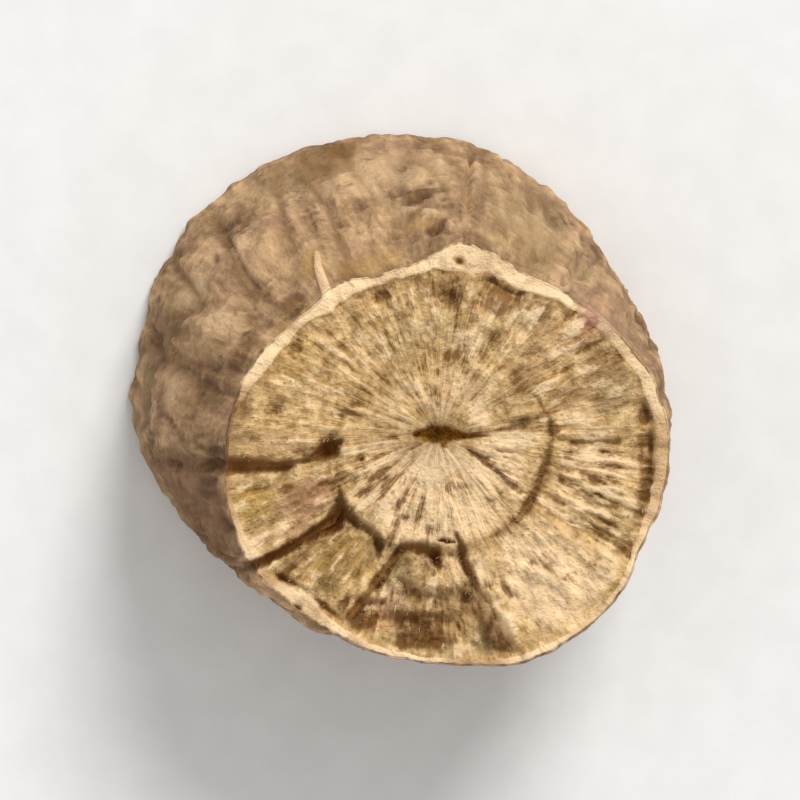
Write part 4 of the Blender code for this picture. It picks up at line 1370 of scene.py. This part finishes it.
# Crack floors take a dark brown, which is painted shade; near the middle the pith's floor takes the
# pith's own golden brown.
deep = wood.mix(wood.ramp(hollow + ends * 0.10, 0.4, 0.9), seen(150, 106, 54), seen(140, 90, 34))
pithy = wood.ramp(ends + dots * 0.7 + rays * 0.5, -1.0, 1.0)
pithy = wood.mix(pithy, seen(136, 84, 8), seen(214, 148, 36))
deep = wood.mix(wood.ramp(distance, 1.3, 0.7), deep, pithy)
colour = wood.mix(wood.ramp(hollow, 0.12, 0.60) * 0.90, colour, deep)

wood_height = rays * 0.4 + hairs * 0.3 + ends * 0.6 + dots * 0.3 - pore * 0.9
cork_height = streaks * 0.3 + threads * 0.25 + specks * 0.6 + dots * 0.3
bump_height = wood_height + (cork_height - wood_height) * bark
bump_sockets = {"Strength": 0.9, "Distance": BUMP_DISTANCE, "Height": bump_height}
bump = wood.add("ShaderNodeBump", {}, bump_sockets)
wood.fill(wood.shader, {
    "Base Color": colour,
    "Roughness": 0.78 + ends * 0.06,
    "Normal": bump,
    "Specular IOR Level": 0.22,
})

stub.data.materials.append(wood.material)
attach(stub, "root")
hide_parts("root_stub")

# Torn ends of fibres.
# The chop tore the wood as well as cutting it, so slivers lean out of the bay, the cracks' edges
# and the rougher wood. They are the same wood, still fast in the stub at their lower ends.

SLIVER_SEED = 5
SLIVER_TRIES = 8000
SLIVERS_LEAN_TO = 215.0
SLIVERS_SPREAD = 60.0
SLIVER_WIDTHS = (0.010, 0.024)
SLIVER_LENGTHS = (0.06, 0.26)
SLIVER_ROOTED = 0.3
SLIVER_BENDS_AT = 0.62
SLIVER_CORNERS = 7

random = np.random.default_rng(SLIVER_SEED)
angles = random.uniform(0.0, 360.0, SLIVER_TRIES)
reach = np.sqrt(random.uniform(0.03, 0.99, SLIVER_TRIES))
roots, straight, marks = face_points(angles, reach * rim_distance(angles))
beside_crack = eased(0.02, 0.2, marks["hollow"]) * (1.0 - eased(0.35, 0.7, marks["hollow"]))
odds = 0.02 + 0.25 * marks["torn"] + 0.50 * beside_crack + 0.08 * marks["olive"]
kept = random.uniform(0.0, 1.0, SLIVER_TRIES) < odds * (1.0 - 0.8 * marks["lip"])
roots, straight, angles = roots[kept], straight[kept], angles[kept]
marks = {name: values[kept] for name, values in marks.items()}
count = len(roots)
lean = np.radians(SLIVERS_LEAN_TO + SLIVERS_SPREAD * random.normal(0.0, 1.0, count))
slope = random.uniform(0.6, 3.0, count)
run = np.column_stack([np.cos(lean) * slope, np.sin(lean) * slope, np.ones(count)])
run /= np.linalg.norm(run, axis=1, keepdims=True)
side = np.cross(run, (0.0, 0.0, 1.0))
side /= np.linalg.norm(side, axis=1, keepdims=True)
back = np.cross(side, run)
length = random.uniform(*SLIVER_LENGTHS, (count, 1)) * (1.0 + 0.5 * marks["torn"][:, None])
width = random.uniform(*SLIVER_WIDTHS, (count, 1))
roots = roots - run * SLIVER_ROOTED * length
corners = [roots + width * side, roots - width * side, roots + width * back]
middles = [roots + SLIVER_BENDS_AT * run * length + 0.75 * (corner - roots) for corner in corners]
tips = roots + run * length + 0.15 * length * back
slivers = np.stack([*corners, *middles, tips], axis=1).reshape(-1, 3)
SLIVER_FACES = (
    (0, 2, 1), (0, 1, 4, 3), (1, 2, 5, 4), (2, 0, 3, 5), (3, 4, 6), (4, 5, 6), (5, 3, 6),
)
faces = []
for first in range(0, SLIVER_CORNERS * count, SLIVER_CORNERS):
    faces += [tuple(first + corner for corner in face) for face in SLIVER_FACES]
# The slivers keep a little of the painted shade of the cracks they rise from.
marks["hollow"] = 0.3 * marks["hollow"]
marks["tone"] = marks["tone"] + random.uniform(-0.5, 0.5, count)
marks = {name: np.repeat(values, SLIVER_CORNERS) for name, values in marks.items()}
straight = np.repeat(straight, SLIVER_CORNERS, axis=0)
fibres = mesh_piece("torn_fibres", slivers, faces, straight, marks)
fibres.data.materials.append(wood.material)
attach(fibres, "root")
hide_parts("root_stub")

# The floor.
# A sheet of plain near-white card, far wider than the view, which the stub stands on.

FLOOR_SIDE = 1.2
CARD_TOOTH = 900.0
bpy.ops.mesh.primitive_plane_add(size=FLOOR_SIDE)
floor = bpy.context.object
floor.name = "floor"
card = Finish("near-white card")
tooth = card.speckle(card.add("ShaderNodeTexCoord", {}, {}, "Object"), CARD_TOOTH, 3.0)
card_white = card.mix(card.ramp(tooth, -1.0, 1.0), (0.86, 0.86, 0.86, 1.0), (0.90, 0.90, 0.90, 1.0))
card.fill(card.shader, {"Base Color": card_white, "Roughness": 0.9, "Specular IOR Level": 0.2})
floor.data.materials.append(card.material)

# The light.
# An even white room, and one broad soft lamp that stands high at the upper right of the view.

ROOM_BRIGHTNESS = 0.58
LAMP_BRIGHTNESS = 2.0
LAMP_SPREAD = 22.0
LAMP_SLANT = 42.0
LAMP_FROM = 62.0

world = bpy.data.worlds.new("soft white room")
world.use_nodes = True
room = world.node_tree.nodes["Background"]
room.inputs["Color"].default_value = (1.0, 0.99, 0.97, 1.0)
room.inputs["Strength"].default_value = ROOM_BRIGHTNESS
bpy.context.scene.world = world

lamp = bpy.data.lights.new("soft lamp", "SUN")
lamp.energy = LAMP_BRIGHTNESS
lamp.angle = math.radians(LAMP_SPREAD)
lamp.color = (1.0, 0.985, 0.96)
lamp_stand = bpy.data.objects.new("soft lamp", lamp)
lamp_side = outward(LAMP_FROM) * math.sin(math.radians(LAMP_SLANT))
lamp_back = Vector((*lamp_side, math.cos(math.radians(LAMP_SLANT))))
lamp_stand.rotation_mode = "QUATERNION"
lamp_stand.rotation_quaternion = lamp_back.to_track_quat("Z", "Y")
bpy.context.scene.collection.objects.link(lamp_stand)

# The camera.
# It looks straight down, as in the picture, with a lens so long that the view is nearly flat.

STUB_FILLS = 0.68
LENS = 1000.0
SENSOR = 36.0
camera_data = bpy.data.cameras.new("camera")
camera_data.lens = LENS
camera_data.sensor_width = SENSOR
camera_data.clip_start = 0.001
camera_data.clip_end = 10.0
camera = bpy.data.objects.new("camera", camera_data)
low, high = cad_box
above = (high.x - low.x) / STUB_FILLS * LENS / SENSOR + PITH_HEIGHT * MM
camera.location = ((low.x + high.x) / 2, (low.y + high.y) / 2, above)
bpy.context.scene.collection.objects.link(camera)
bpy.context.scene.camera = camera
bpy.context.scene.view_settings.view_transform = "Standard"
